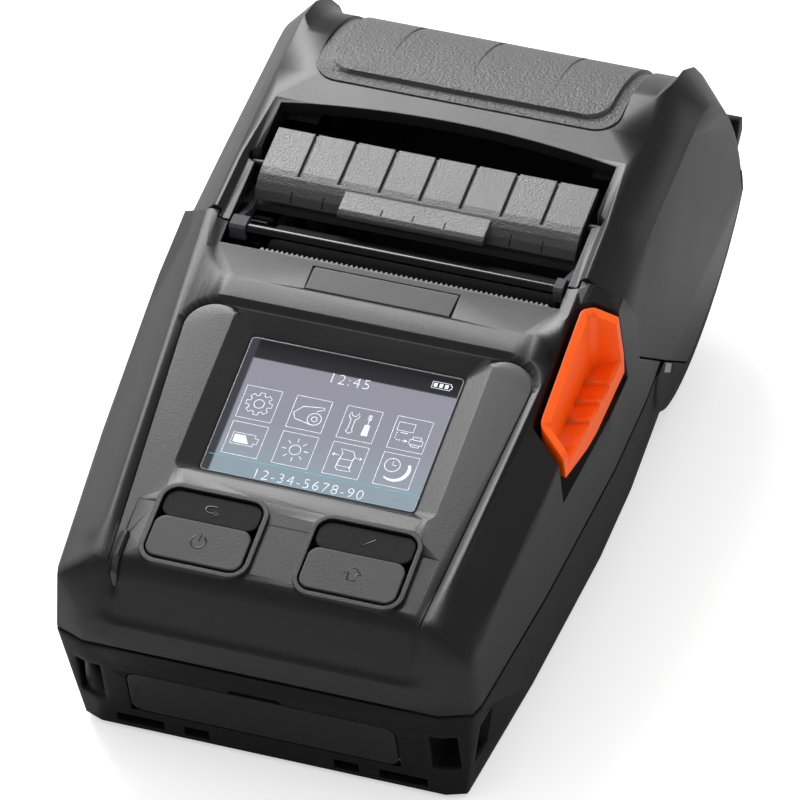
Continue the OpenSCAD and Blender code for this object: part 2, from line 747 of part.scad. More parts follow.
// Keys: a narrow upper key and a larger lower key in each cluster
module key(side, upper) {
    w = cluster_w - 2 * key_gap;
    big_l = cluster_l - small_key_l - 3 * key_gap;
    s0 = upper ? cluster_s + cluster_l / 2 - key_gap - small_key_l : cluster_s - cluster_l / 2 + key_gap;
    l = upper ? small_key_l : big_l;
    top = upper ? 0.1 : 0.9;
    stand() on_panel() translate([side * cluster_x, s0 + l / 2, 0]) {
        translate([0, 0, -3.4]) linear_extrude(3.4 + top) round_rect(w, l, 2.2);
        translate([0, 0, -4.6]) cylinder(r = 2, h = 2);
    }
}
module key_power() {
    color([0.15, 0.15, 0.16]) key(-1, false);
}
module key_feed() {
    color([0.12, 0.12, 0.13]) key(-1, true);
}
module key_home() {
    color([0.15, 0.15, 0.16]) key(1, false);
}
module key_enter() {
    color([0.12, 0.12, 0.13]) key(1, true);
}
mat_top = -4.6 - key_travel - 0.1;
module key_mat() {
    color([0.3, 0.3, 0.32]) stand() on_panel() translate([0, cluster_s, mat_top - 1.2]) linear_extrude(1.2)
        square([52, cluster_l + 3], center = true);
}
module key_board() {
    color(board_green) stand() on_panel() translate([0, cluster_s, mat_top - 2.8]) linear_extrude(1.6)
        square([53, cluster_l + 3.6], center = true);
}

// Boards
module main_board() {
    color(board_green) stand() difference() {
        translate([-31.5, 24, board_z]) cube([63, 44, 1.4]);
        posts(board_posts, 1.2, 20, 30);
    }
    color([0.1, 0.1, 0.1]) stand() {
        translate([-12, 36, board_z + 1.4]) cube([12, 12, 1.2]);
        translate([8, 52, board_z + 1.4]) cube([14, 6, 3.5]);
        translate([-24, 54, board_z + 1.4]) cube([10, 7, 2]);
    }
}
module port_board() {
    color(board_green) stand() difference() {
        translate([-27, 6.5, port_z]) cube([54, 16.5, 1.2]);
        posts(port_posts, 1.2, 0, 20);
    }
}
module usb_socket() {
    color(steel) stand() difference() {
        translate([-16, 6.5, port_z + 1.2]) cube([9, 8, 3.4]);
        translate([-15.5, 5.5, port_z + 1.7]) cube([8, 7, 2.4]);
    }
}
module power_socket() {
    color([0.05, 0.05, 0.05]) stand() difference() {
        translate([5, 6.5, port_z + 1.2]) cube([9, 11, 8]);
        translate([9.5, 5.5, port_z + 5.2]) rotate([-90, 0, 0]) cylinder(r = 2.8, h = 9);
    }
}
module buzzer() {
    color([0.05, 0.05, 0.05]) stand() translate([18, 36, board_z + 1.4]) difference() {
        cylinder(r = 5, h = 4);
        translate([0, 0, 3]) cylinder(r = 1, h = 2);
    }
}
module board_screws() {
    color(steel) stand() {
        for (p = board_posts) translate([p[0], p[1], board_z + 1.4]) mirror([0, 0, 1]) screw(0.9, 6, 2, 1);
        for (p = port_posts) translate([p[0], p[1], port_z + 1.2]) mirror([0, 0, 1]) screw(0.9, 3.6, 1.8, 1);
    }
}

// Battery
module battery_pack() {
    color([0.08, 0.08, 0.09]) stand() difference() {
        translate([-battery_w / 2, battery_front, 0.7]) cube([battery_w, battery_l, battery_h - 0.7]);
        translate([-6, battery_front - 1, 0]) cube([12, 4.2, 3.8]);
        for (x = [-9, -3, 3, 9]) translate([x - 1.2, battery_rear - 3, 4]) cube([2.4, 4, 6]);
    }
}
module battery_contacts() {
    color([0.8, 0.65, 0.3]) stand() for (x = [-9, -3, 3, 9])
        translate([x - 0.9, battery_rear - 1.6, 5]) cube([1.8, 1.6 + clear, 4]);
}
module battery_latch() {
    color([0.2, 0.2, 0.2]) stand() {
        translate([-7.2, battery_front - 0.6 - 7.6, 0.7]) cube([14.4, 7.4, 2]);
        translate([-5.6, battery_front - 1.2, 1]) cube([11.2, 3.4, 1.7]);
        for (i = [0:2]) translate([-5, battery_front - 7.4 + i * 2, 0.45]) cube([10, 0.8, 0.4]);
    }
}

// Port cover on its pin
module port_cover() {
    color([0.07, 0.07, 0.07]) stand() on_front() translate([port_x, 0, 0]) difference() {
        union() {
            translate([0, 0, port_mid]) rotate([90, 0, 0]) translate([0, 0, -1.5]) linear_extrude(1.5)
                round_rect(port_w, port_h, 2.2);
            translate([0, 0, port_mid]) rotate([90, 0, 0]) translate([0, 0, -3]) linear_extrude(2.4) difference() {
                translate([0, 1.4]) round_rect(port_w - 6, port_h - 6.4, 1.2);
                translate([0, 1.4]) round_rect(port_w - 8.4, port_h - 8.8, 0.8);
            }
            rod(-port_w / 2 + 0.6, port_w / 2 - 0.6, port_pin_y, port_pin_y, port_pin_z);
        }
        rod(-far, far, port_pin_r + fit, port_pin_y, port_pin_z);
    }
}
module port_cover_pin() {
    color(steel) stand() on_front() translate([port_x, 0, 0])
        rod(-port_w / 2 - 2, port_w / 2 + 2, port_pin_r, port_pin_y, port_pin_z);
}
module case_screws() {
    color(steel) stand() for (p = case_posts) translate([p[0], p[1], 2.9]) screw(1, 26, 2.4, 1.6);
}

// Print mechanism
module frame_side() {
    slot = bush_r + clear;
    difference() {
        polygon([[66, 26.2], [95, 26.2], [95.4, 36], [94.4, 50], [93.4, platen_z + 2], [77, platen_z + 2], [72.4, 48], [66, 36]]);
        translate([platen_y, platen_z]) circle(r = slot);
        translate([platen_y, platen_z]) rotate(-slot_angle) translate([-slot, 0]) square([2 * slot, 20]);
        translate([shaft_y, shaft_z]) circle(r = 1.5 + fit);
        translate([head_pivot_y, head_pivot_z]) circle(r = 1);
        translate(idler_c) circle(r = 1);
    }
}
module print_frame() {
    color([0.5, 0.51, 0.53]) stand() difference() {
        union() {
            both_sides() across(frame_x, frame_x + plate_t) frame_side();
            // Wall that the head springs push against
            translate([-13.5, spring_wall_y, 26.2]) cube([frame_x + 14, plate_t, 23]);
            translate([-frame_x - 0.5, 66, 26.2]) cube([2 * frame_x + 1, 14, 1.2]);
            both_sides() translate([frame_x, 72.2, foot_z]) cube([9.4, 18, 1.2]);
            across(motor_face - 1, motor_face) polygon([
                [59.4, 28], [66, 26.2], [82.4, 26.2], [83.6, 36], [82.4, 43], [78, 45.4], [66, 45.4], [59.4, 43]]);
        }
        posts(frame_feet, 1.2, 20, 30);
        rod(motor_face - 2, motor_face + 1, 2.6, pinion_c[0], pinion_c[1]);
        rod(motor_face - 2, motor_face + 1, 1, idler_c[0], idler_c[1]);
        rod(motor_face - 2, motor_face + 1, 1, head_pivot_y, head_pivot_z);
        for (x = tab_places) translate([x + 5, 65, 46]) rotate([-90, 0, 0]) cylinder(r = 0.9, h = 12);
    }
}
module frame_screws() {
    color(steel) stand() {
        for (p = frame_feet) translate([p[0], p[1], foot_z + 1.2]) mirror([0, 0, 1]) screw(0.9, 8, 2, 1.2);
        for (x = tab_places) translate([x + 5, spring_wall_y + plate_t + tear_t, 46]) rotate([90, 0, 0]) screw(0.9, 4, 1.7, 0.9);
    }
}
module tear_bar() {
    n = round(2 * print_half / tooth_pitch);
    w = 2 * print_half + 0.8;
    edge = lip_y / cos(panel_angle) + tear_reach;
    color(steel) stand() {
        on_panel() translate([print_x, edge, -lip_t - tear_t - 0.05]) {
            translate([-w / 2, -tear_reach - tear_depth, 0]) cube([w, tear_depth + tear_reach, tear_t]);
            linear_extrude(tear_t) polygon(concat(
                [[-n * tooth_pitch / 2, -0.2]],
                [for (i = [0:n - 1]) each [
                    [(i - n / 2) * tooth_pitch, 0], [(i - n / 2 + 0.5) * tooth_pitch, tooth_h]]],
                [[n * tooth_pitch / 2, 0], [n * tooth_pitch / 2, -0.2]]));
        }
        for (x = tab_places) difference() {
            translate([x, spring_wall_y + plate_t, 43.4]) cube([10, tear_t, panel_at(spring_wall_y + plate_t) - lip_t - tear_t - 43]);
            translate([x + 5, 65, 46]) rotate([-90, 0, 0]) cylinder(r = 0.9, h = 12);
        }
    }
}
module heat_sink() {
    color([0.75, 0.76, 0.78]) stand() difference() {
        union() {
            translate([print_left + 0.2, head_face - 3.4, head_pivot_z]) cube([2 * print_half, 1.6, platen_z + 2.2 - head_pivot_z]);
            for (x = [motor_face + 11.4, print_right - 5]) across(x, x + 5) {
                translate([head_pivot_y, head_pivot_z]) circle(r = 2.4);
                translate([head_pivot_y, head_pivot_z - 2.4]) square([head_face - 1.8 - head_pivot_y, 4.8]);
            }
        }
        rod(-far, far, 1 + fit, head_pivot_y, head_pivot_z);
    }
}
module thermal_head() {
    color([0.85, 0.85, 0.82]) stand() {
        translate([print_left + 0.4, head_face - 1.8, head_pivot_z + 6]) cube([2 * print_half - 0.6, 1.5, platen_z - head_pivot_z - 3.4]);
        translate([print_left + 0.6, head_face - 0.3, platen_z - 1]) cube([2 * print_half - 1, 0.3, 2]);
    }
}
module head_pin() {
    color(steel) stand() rod(motor_face - 1, frame_x + plate_t, 1, head_pivot_y, head_pivot_z);
}
module head_springs() {
    color(steel) stand() for (x = spring_places)
        translate([x, head_face - 3.75, platen_z - 3]) rotate([90, 0, 0]) spring(2.2, 0.7, 4, 1.45);
}
module motor() {
    color([0.6, 0.61, 0.63]) stand() difference() {
        union() {
            rod(motor_face, motor_face + 10.8, motor_r, pinion_c[0], pinion_c[1]);
            rod(motor_face - 1.2, motor_face + 0.4, 2.6, pinion_c[0], pinion_c[1]);
        }
        rod(motor_face - 2, motor_face + 1, 1.4, pinion_c[0], pinion_c[1]);
    }
}
// Turns that bring the teeth of the train into mesh
module motor_pinion() {
    mesh = pinion_dir + 180 + 180 / pinion_teeth + (pinion_dir - idler_phase()) * idler_teeth / pinion_teeth;
    color([0.75, 0.6, 0.3]) stand() {
        translate([gear_left, pinion_c[0], pinion_c[1]]) rotate([90, 0, 90]) gear(pinion_teeth, gear_w, 0.9, mesh);
        rod(gear_left - 0.2, motor_face + 0.8, 1, pinion_c[0], pinion_c[1]);
    }
}
function idler_phase() = idler_dir + 180 + 180 / idler_teeth + idler_dir * platen_teeth / idler_teeth;
module idler_gear() {
    color([0.85, 0.85, 0.8]) stand() translate([gear_left, idler_c[0], idler_c[1]]) rotate([90, 0, 90])
        gear(idler_teeth, gear_w, 1 + fit, idler_phase());
}
module idler_axle() {
    color(steel) stand() rod(-frame_x - plate_t, motor_face, 1, idler_c[0], idler_c[1]);
}

// Release lever and latch
arm_x = 39;
arm_t = 1.8;
module latch_shaft() {
    color(steel) stand() rod(-hook_x - hook_t - 0.2, arm_x + arm_t, 1.5, shaft_y, shaft_z);
}
module latch_hooks() {
    reach = norm([catch_y - shaft_y, catch_z - shaft_z]) + catch_r + clear;
    c = [shaft_y, shaft_z];
    end_a = acos((catch_y + 0.1 - shaft_y) / (reach + 0.9));
    color(steel) stand() both_sides() across(hook_x, hook_x + hook_t) difference() {
        union() {
            translate(c) circle(r = 3.3);
            polygon(concat(
                [c + [-3.3, 0], c + [-1, 3.1], [platen_y - shaft_r - 0.5, platen_z - 2], [platen_y - shaft_r - 0.5, platen_z + 2]],
                arc_pts(c, reach, 103.6, end_a, 6), arc_pts(c, reach + 1.6, end_a, 108, 6)));
        }
        translate(c) circle(r = 1.5);
    }
}
module release_lever() {
    tip_z = recess_floor + 2.8;
    color([0.95, 0.38, 0.05]) stand() {
        intersection() {
            difference() {
                translate([0, 0, tip_z]) linear_extrude(30) recess_shape(-lever_gap);
                lever_scoop();
                // Lower edge rises towards the tip
                across(0, far) polygon([[40, 30], [40, 46.9], [50.4, 43.6], [60.5, tip_z + 0.2], [70, tip_z - 0.2], [82, tip_z - 0.1],
                    [87, 43.2], [95, 46], [95, 30]]);
            }
            upper_form(-0.4);
            cube([case_half - 1.1, 200, 100]);
        }
        lever_arm();
    }
}
// Thumb scoop: deep along the inner wall, its floor rises a little towards the side and carries three ridges
module lever_scoop() {
    wall_l = 1.7;
    difference() {
        intersection() {
            translate([0, 0, 30]) linear_extrude(40) offset(r = 1.2, $fn = 24) offset(delta = -lever_gap - wall_l - 1.2) polygon(
                [recess_plan[0], recess_plan[1], recess_plan[2], [60, 88.3], [60, 38.9]]);
            across(-far, far) polygon([[40, 43.6], [100, 43.6], [100, 80], [40, 80]]);
        }
        scoop_floor(40, 60);
        for (y = lever_ridges) translate([0, 0, ridge_h]) scoop_floor(y, ridge_w);
    }
}
lever_ridges = [63, 68.3, 73.7];
ridge_h = 0.7;
ridge_w = 1.1;
module scoop_floor(y, l) {
    translate([0, y + l, 0]) rotate([90, 0, 0]) linear_extrude(l)
        polygon([[36, 30], [36, 44.6], [39.5, 44.3], [44.6, 45.8], [45.8, 45.2], [46.6, 44], [60, 43], [60, 30]]);
}
module lever_arm() {
    across(arm_x, arm_x + arm_t) difference() {
        union() {
            translate([shaft_y, shaft_z]) circle(r = 3.4);
            polygon([[shaft_y - 0.6, shaft_z + 3.3], [shaft_y - 2.6, shaft_z - 2.2], [74, recess_floor + 1.4],
                [74, recess_floor + 4.3], [80.9, recess_floor + 4.3]]);
        }
        translate([shaft_y, shaft_z]) circle(r = 1.5);
    }
}
module lever_spring() {
    color(steel) stand() translate([22, shaft_y, shaft_z]) rotate([0, 90, 0]) spring(2.6, 0.8, 5, 1.3);
}

// Paper bucket and guides
module paper_bucket() {
    r1 = roll_r - wall - 0.3;
    stub_r = 4;
    color([0.16, 0.16, 0.17]) stand() {
        difference() {
            union() {
                intersection() {
                    difference() {
                        rod(-bucket_half - bucket_t, bucket_half + bucket_t, r1, roll_y, roll_z);
                        rod(-bucket_half, bucket_half, r1 - bucket_t, roll_y, roll_z);
                    }
                    across(-far, far) polygon([[roll_y - 40, 40.5], [roll_y - 10, 33], [roll_y + 25, 33], [roll_y + 40, 27.5], [roll_y + 40, -10], [roll_y - 40, -10]]);
                }
                both_sides() for (y = [112, 144]) translate([bucket_half + 0.4, y - 4, 24]) cube([6.6, 8, 1.4]);
                both_sides() rod(bucket_half - 9, bucket_half + 0.5, stub_r, roll_y, roll_z - 4);
            }
            posts(bucket_feet, 1.2, 20, 30);
            translate([-4, 90, 37]) cube([8, 11, 2.6]);
        }
    }
}
module bucket_screws() {
    color(steel) stand() for (p = bucket_feet) translate([p[0], p[1], 25.4]) mirror([0, 0, 1]) screw(0.9, 8, 2, 1.2);
}
module guide(side) {
    color([0.2, 0.2, 0.22]) stand() mirror([side > 0 ? 0 : 1, 0, 0]) difference() {
        union() {
            rod(29.4, 31, 13, roll_y, roll_z - 4);
            rod(26.4, 32.6, 5.6, roll_y, roll_z - 4);
        }
        rod(0, 60, 4 + fit, roll_y, roll_z - 4);
    }
}
module guide_left() {
    guide(-1);
}
module guide_right() {
    guide(1);
}
module paper_sensor() {
    color([0.05, 0.05, 0.05]) stand() translate([-4, 95.4, 37]) cube([8, 4, 2.6]);
}

// Lid
module lid_shell() {
    color(case_gray) stand() difference() {
        union() {
            difference() {
                intersection() {
                    lid_form(0);
                    union() {
                        across(-far, far) lid_outline(0);
                        arm_outline(0);
                    }
                }
                difference() {
                    union() {
                        intersection() {
                            belly_in();
                            translate([-60, 80, -10]) cube([120, 100, 54]);
                        }
                        intersection() {
                            lid_form(wall + 1);
                            translate([-cheek_in, 70, -20]) cube([2 * cheek_in, 100, 100]);
                            lid_inside();
                        }
                    }
                    lid_ribs();
                }
                lid_field();
            }
            lid_knuckles();
        }
        mouth_cut();
        pad_space();
        posts(bracket_places, 0.9, 50, 63);
        both_sides() {
            rod(mouth_half - 1, mouth_half + 2.6, 1, flap_y, flap_z);
            translate([mouth_half, flap_y, flap_z - 1.2]) cylinder(r = 1.8, h = 10);
        }
    }
}
// Keeps the wall under the sunk field of the lid
module lid_inside() {
    across(-far, far) difference() {
        polygon([[70, -20], [70, 57.2], [field_front[0], field_front[1] - wall], [field_rear[0], field_rear[1] - wall],
            [field_rear[0] + 3, field_rear[1] + 6], [200, 80], [200, -20]]);
        difference() {
            translate([field_rear[0], roll_z]) square([60, 60]);
            translate([roll_y, roll_z]) circle(r = roll_r - wall, $fn = 96);
        }
    }
}
bracket_places = [[31, 121.5], [-31, 121.5], [31, 126.5], [-31, 126.5]];
bracket_top = 57.2;
module lid_ribs() {
    posts(bracket_places, 2.4, bracket_top, 70);
    // Inner skirts of the arms
    both_sides() translate([mouth_half, 95, flap_z - 2.4]) cube([1.8, 23, 12]);
}
module lid_knuckles() {
    for (s = [-1, 1]) across(s * 24 - 9, s * 24 + 9) difference() {
        union() {
            translate([hinge_y, hinge_z]) circle(r = hinge_r);
            polygon([[160.4, hinge_z + 1.4], [hinge_y, hinge_z - 0.6], [hinge_y, hinge_z + hinge_r], [160, 36.6]]);
        }
        translate([hinge_y, hinge_z]) circle(r = pin_r + fit);
    }
}
module mouth_cut() {
    translate([0, 0, 40]) linear_extrude(50) polygon(concat(
        [[-mouth_half, 78], [mouth_half, 78]],
        [for (i = [0:12]) let (x = mouth_half - i * mouth_half / 6) [x, 118 - 3.3 * pow(x / mouth_half, 2)]]));
}
pad_half = 31;
pad_a0 = 8;
pad_a1 = 98;
pad_border = 2.6;
groove_x = [-16.6, 0, 16.6];
groove_w = 0.8;
module pad_space() {
    intersection() {
        pad_ring(roll_r + 2, pad_a0, pad_a1 + 6);
        pad_plan(0);
    }
}
// Round front corners of the pad, seen from above
module pad_plan(g) {
    front = roll_y + roll_r * cos(pad_a1) + g;
    half = pad_half - g;
    translate([0, 0, 20]) linear_extrude(60) {
        translate([0, front + 30]) round_rect(2 * half, 60, 5);
        translate([-half, front + 10]) square([2 * half, 60]);
    }
}
module lid_pad() {
    color([0.2, 0.2, 0.21]) stand() difference() {
        union() {
            intersection() {
                pad_ring(roll_r - 0.6, pad_a0 + 0.4, pad_a1 + 4);
                pad_plan(0.1);
            }
            intersection() {
                pad_ring(roll_r + 0.2, pad_a0 + 0.4, pad_a1 + 4);
                pad_plan(pad_border);
            }
        }
        // Grooves that run out of the surface near the front edge, so their rings sit off the roll axis
        for (x = groove_x) translate([x, roll_y - 0.24, roll_z + 0.65]) rotate([0, 90, 0])
            rotate_extrude($fn = 96) translate([roll_r - 0.44, -groove_w / 2]) square([3, groove_w]);
    }
}
// Arched slab round the roll axis, wider than the pad
module pad_ring(r, a0, a1) {
    translate([0, roll_y, roll_z]) rotate([0, 90, 0]) rotate([0, 0, 90 + a0]) rotate_extrude(angle = a1 - a0, $fn = 96)
        translate([roll_r - 1, -pad_half - 2]) square([r - roll_r + 1, 2 * pad_half + 4]);
}
module hinge_pin() {
    color(steel) stand() rod(-38, 38, pin_r, hinge_y, hinge_z);
}
module lid_spring() {
    color(steel) stand() translate([-6, hinge_y, hinge_z]) rotate([0, 90, 0]) spring(2, 0.7, 6, 1.4);
}
module platen_bracket() {
    color([0.16, 0.16, 0.17]) stand() difference() {
        union() {
            both_sides() {
                across(bracket_x, bracket_x + bracket_t) bracket_side();
                translate([28, 118, bracket_top - 1.2]) cube([bracket_x - 27.5, 12, 1.2]);
                across(frame_x + 0.2, frame_x + 1.4) peel_tab();
            }
            across(-frame_x - 1.4, -30.2) peel_cap();
            across(frame_x - 0.4, frame_x + 1.4) peel_cap();
            translate([-bracket_x - 0.5, 93.8, platen_z + 3.6]) cube([2 * bracket_x + 1, 5.2, 1.4]);
        }
        rod(-far, far, shaft_r + fit, platen_y, platen_z);
        rod(-far, far, catch_r, catch_y, catch_z);
        rod(-frame_x - 1, frame_x + 1, peel_r, peel_y, peel_z);
        posts(bracket_places, 1.2, 55, 65);
    }
}
module peel_cap() {
    polygon([[peel_y - 1.7, peel_z - 1.5], [peel_y + 1.6, peel_z - 1.6], [peel_y + 2.2, peel_z + 1.2], [peel_y + 1.4, peel_z + 1.8],
        [peel_y - 1.2, peel_z + 1.8], [peel_y - 1.7, peel_z + 1.3]]);
}
module peel_tab() {
    polygon([[peel_y - 1.4, peel_z - 1.5], [peel_y - 1.4, peel_z + 1], [peel_y + 1.8, peel_z + 0.8], [92, 55.9], [99, platen_z + 5],
        [99, platen_z + 3.6], [90, platen_z + 3.6], [86.6, platen_z + 4.8]]);
}
module bracket_side() {
    polygon([[platen_y - 2.3, 47.2], [90.5, 46.6], [97, 50], [112, 53], [130, 55.6], [130, bracket_top],
        [116, bracket_top], [104, 55.4], [97, 55], [92, 54.6], [86.8, 54.6], [86.8, 53.2], [platen_y - 2.3, 51.6]]);
}
module bracket_screws() {
    color(steel) stand() for (p = bracket_places) translate([p[0], p[1], bracket_top - 1.2]) screw(0.9, 3, 1.7, 1);
}
module latch_pins() {
    color(steel) stand() both_sides() rod(hook_x + 0.2, bracket_x + bracket_t, catch_r, catch_y, catch_z);
}
module peel_bar() {
    color([0.8, 0.81, 0.83]) stand() rod(-frame_x - 1, frame_x + 1, peel_r, peel_y, peel_z);
}
module platen_bushes() {
    color([0.85, 0.8, 0.6]) stand() both_sides() difference() {
        rod(frame_x - 0.3, frame_x + plate_t + 0.3, bush_r, platen_y, platen_z);
        rod(0, 60, shaft_r + fit, platen_y, platen_z);
    }
}
module platen_shaft() {
    color(steel) stand() rod(-bracket_x - bracket_t - 0.2, bracket_x + bracket_t + 0.2, shaft_r, platen_y, platen_z);
}
module platen_roller() {
    color([0.05, 0.05, 0.05]) stand() difference() {
        rod(print_left, print_right, platen_r, platen_y, platen_z);
        rod(-60, 60, shaft_r, platen_y, platen_z);
    }
}
module platen_gear() {
    color([0.85, 0.85, 0.8]) stand() translate([gear_left, platen_y, platen_z]) rotate([90, 0, 90])
        gear(platen_teeth, gear_w, shaft_r, 0);
}

// Peeler flap with seven grooves, a lip and a centre tab
module peeler_flap() {
    color([0.22, 0.22, 0.23]) stand() difference() {
        union() {
            across(-flap_half, flap_half) polygon([
                [108.7, 62.3], [98.8, 60.95], [97.2, 60.5], [95.8, 59.75], [94.4, 58.7], [93.2, 57.2], [94.4, 56.4],
                [98.6, 58.8], [108.9, 60.4]]);
            across(-14.7, 14.7) polygon([[96.8, 60.3], [92.4, 59.7], [91.5, 59.2], [91.1, 58.6], [91.6, 58.1],
                [92.6, 58.1], [97.2, 59.6]]);
            both_sides() across(flap_half - ear_w, flap_half) {
                translate([flap_y, flap_z]) circle(r = 2);
                polygon([[flap_y - 2, flap_z], [flap_y + 2, flap_z], [flap_y + 2.6, 61], [flap_y - 2.6, 60.4]]);
            }
        }
        for (i = [-3:3]) translate([i * 8.16 - 0.35, 97.6, 61.8]) rotate([7.8, 0, 0]) translate([0, 0, -1.6]) cube([0.7, 14, 3]);
        both_sides() rod(flap_half - ear_w, far, 1 + fit, flap_y, flap_z);
    }
}
module flap_pins() {
    color(steel) stand() both_sides() rod(flap_half - ear_w + 0.2, mouth_half + 2.4, 1, flap_y, flap_z);
}

lower_case();
case_gasket();
upper_case();
display_lens();
lcd_module();
light_pipe();
nameplate();
key_power();
key_feed();
key_home();
key_enter();
key_mat();
key_board();
main_board();
port_board();
usb_socket();
power_socket();
buzzer();
battery_pack();
battery_contacts();
battery_latch();
port_cover();
port_cover_pin();
case_screws();
board_screws();
print_frame();
frame_screws();
tear_bar();
heat_sink();
thermal_head();
head_pin();
head_springs();
motor();
motor_pinion();
idler_gear();
idler_axle();
latch_shaft();
latch_hooks();
release_lever();
lever_spring();
paper_bucket();
bucket_screws();
guide_left();
guide_right();
paper_sensor();
lid_shell();
lid_pad();
hinge_pin();
lid_spring();
platen_bracket();
bracket_screws();
latch_pins();
peel_bar();
platen_bushes();
platen_shaft();
platen_roller();
platen_gear();
peeler_flap();
flap_pins();
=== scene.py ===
"""Portable thermal printer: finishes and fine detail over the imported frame."""

import logging
import math
from dataclasses import dataclass, field
from enum import Enum
from functools import partial

import bmesh
import bpy
from mathutils import Matrix, Vector
from mathutils.bvhtree import BVHTree


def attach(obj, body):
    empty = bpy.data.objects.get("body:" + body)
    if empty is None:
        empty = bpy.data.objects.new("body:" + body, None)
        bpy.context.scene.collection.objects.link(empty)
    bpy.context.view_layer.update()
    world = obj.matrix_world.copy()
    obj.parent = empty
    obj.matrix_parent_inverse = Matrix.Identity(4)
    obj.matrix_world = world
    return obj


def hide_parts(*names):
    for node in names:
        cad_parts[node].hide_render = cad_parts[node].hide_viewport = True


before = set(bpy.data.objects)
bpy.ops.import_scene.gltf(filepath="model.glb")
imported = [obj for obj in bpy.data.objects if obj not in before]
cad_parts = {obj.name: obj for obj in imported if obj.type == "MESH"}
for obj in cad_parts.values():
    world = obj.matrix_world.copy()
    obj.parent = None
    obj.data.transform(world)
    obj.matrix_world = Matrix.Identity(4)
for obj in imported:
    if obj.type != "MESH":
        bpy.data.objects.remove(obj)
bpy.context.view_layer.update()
LOG = logging.getLogger("printer")
MM = 0.001
ABOVE = 80.0  # A height over the whole printer in millimetres, from which rays are cast down.
Colour = tuple[float, float, float]
Spot = tuple[float, float]
Socket = bpy.types.NodeSocket
Feed = float | tuple[float, ...] | Socket
Inputs = dict[str | int, Feed]

# Broad mottle of every finish: cells per metre, detail, swing of the roughness and its least value.
MOTTLE_SCALE, MOTTLE_DETAIL, GLOSS_SWING, ROUGH_MIN = 60.0, 4.0, 0.05, 0.02
# Soft edges: samples, and the distances in millimetres where a rounder corner starts and ends.
EDGE_SAMPLES, CORNER_NEAR, CORNER_FAR = 6, 6.0, 13.0
# Worn edges, which also paint a highlight along every bent edge: cosine of the bend where the lightening
# starts and is full, and how much lighter it is.
WEAR_HIGHLIGHT_START, WEAR_HIGHLIGHT_FULL, WEAR_HIGHLIGHT_GAIN, WEAR_HIGHLIGHT_LIFT = 0.99, 0.86, 2.2, 0.02
# Mould noise: detail, roughness of the noise and strength of the bump; and its stretch when brushed.
PLAIN_NOISE, COARSE_NOISE = (2.0, 0.5, 0.5), (3.0, 0.62, 0.9)
BRUSH_STRETCH = (0.02, 1.0, 1.0)


class Grain(Enum):
    """Surface textures that a mould or a tool leaves."""

    NONE = "none"
    FINE = "fine spark-eroded grain"
    COARSE = "coarse leather-like grain"
    BRUSHED = "lines of a brush along X"
    WOVEN = "tracks and glass cloth of a circuit board"


@dataclass(frozen=True)
class Tree:
    """Node tree of a material or world, with one short way to add a node.

    Attributes:
        nodes: Its nodes.
        links: Its links.
    """

    nodes: bpy.types.Nodes
    links: bpy.types.NodeLinks

    @classmethod
    def of(cls, owner: bpy.types.Material | bpy.types.World) -> "Tree":
        """Turn the nodes of a material or world on and give its tree."""
        owner.use_nodes = True
        return cls(owner.node_tree.nodes, owner.node_tree.links)

    def feed(self, node: bpy.types.Node, inputs: Inputs) -> None:
        """Set inputs of a node: a socket is linked, and anything else is its value.

        Args:
            node: The node.
            inputs: Names or numbers of the inputs, with what goes in.
        """
        for name, value in inputs.items():
            if isinstance(value, Socket):
                self.links.new(value, node.inputs[name])
            else:
                node.inputs[name].default_value = value

    def add(self, kind: str, inputs: Inputs | None = None, **settings: str | int | bool) -> bpy.types.Node:
        """Add a node.

        Args:
            kind: Its type, without the leading ShaderNode.
            inputs: Inputs to set.
            **settings: Properties to set first.

        Returns:
            The node.
        """
        node = self.nodes.new("ShaderNode" + kind)
        for name, value in settings.items():
            setattr(node, name, value)
        self.feed(node, inputs or {})
        return node

    def mix(self, factor: Socket, first: Feed, second: Feed) -> Socket:
        """Mix two colours, the first where the factor is 0 and the second where it is 1."""
        inputs = {"A": first, "B": second, "Factor": factor}
        return self.add("Mix", inputs, data_type="RGBA").outputs["Result"]

    def remap(self, value: Socket, start: Feed, end: Feed, low: float = 0.0, high: float = 1.0) -> Socket:
        """Carry a value from the range low to high onto the range start to end."""
        inputs = {"Value": value, "From Min": low, "From Max": high, "To Min": start, "To Max": end}
        return self.add("MapRange", inputs).outputs["Result"]

    def by_gloss(self, plain: float, gloss: float) -> Socket:
        """Give one level for plain rays and another for glossy ones."""
        return self.remap(self.add("LightPath").outputs["Is Glossy Ray"], plain, gloss)

    def shown(self) -> Socket:
        """Give a socket that is 1 for rays from the camera, also through glass, and 0 for others."""
        path = self.add("LightPath").outputs
        both = {0: path["Is Camera Ray"], 1: path["Is Transmission Ray"]}
        return self.add("Math", both, operation="ADD", use_clamp=True).outputs["Value"]


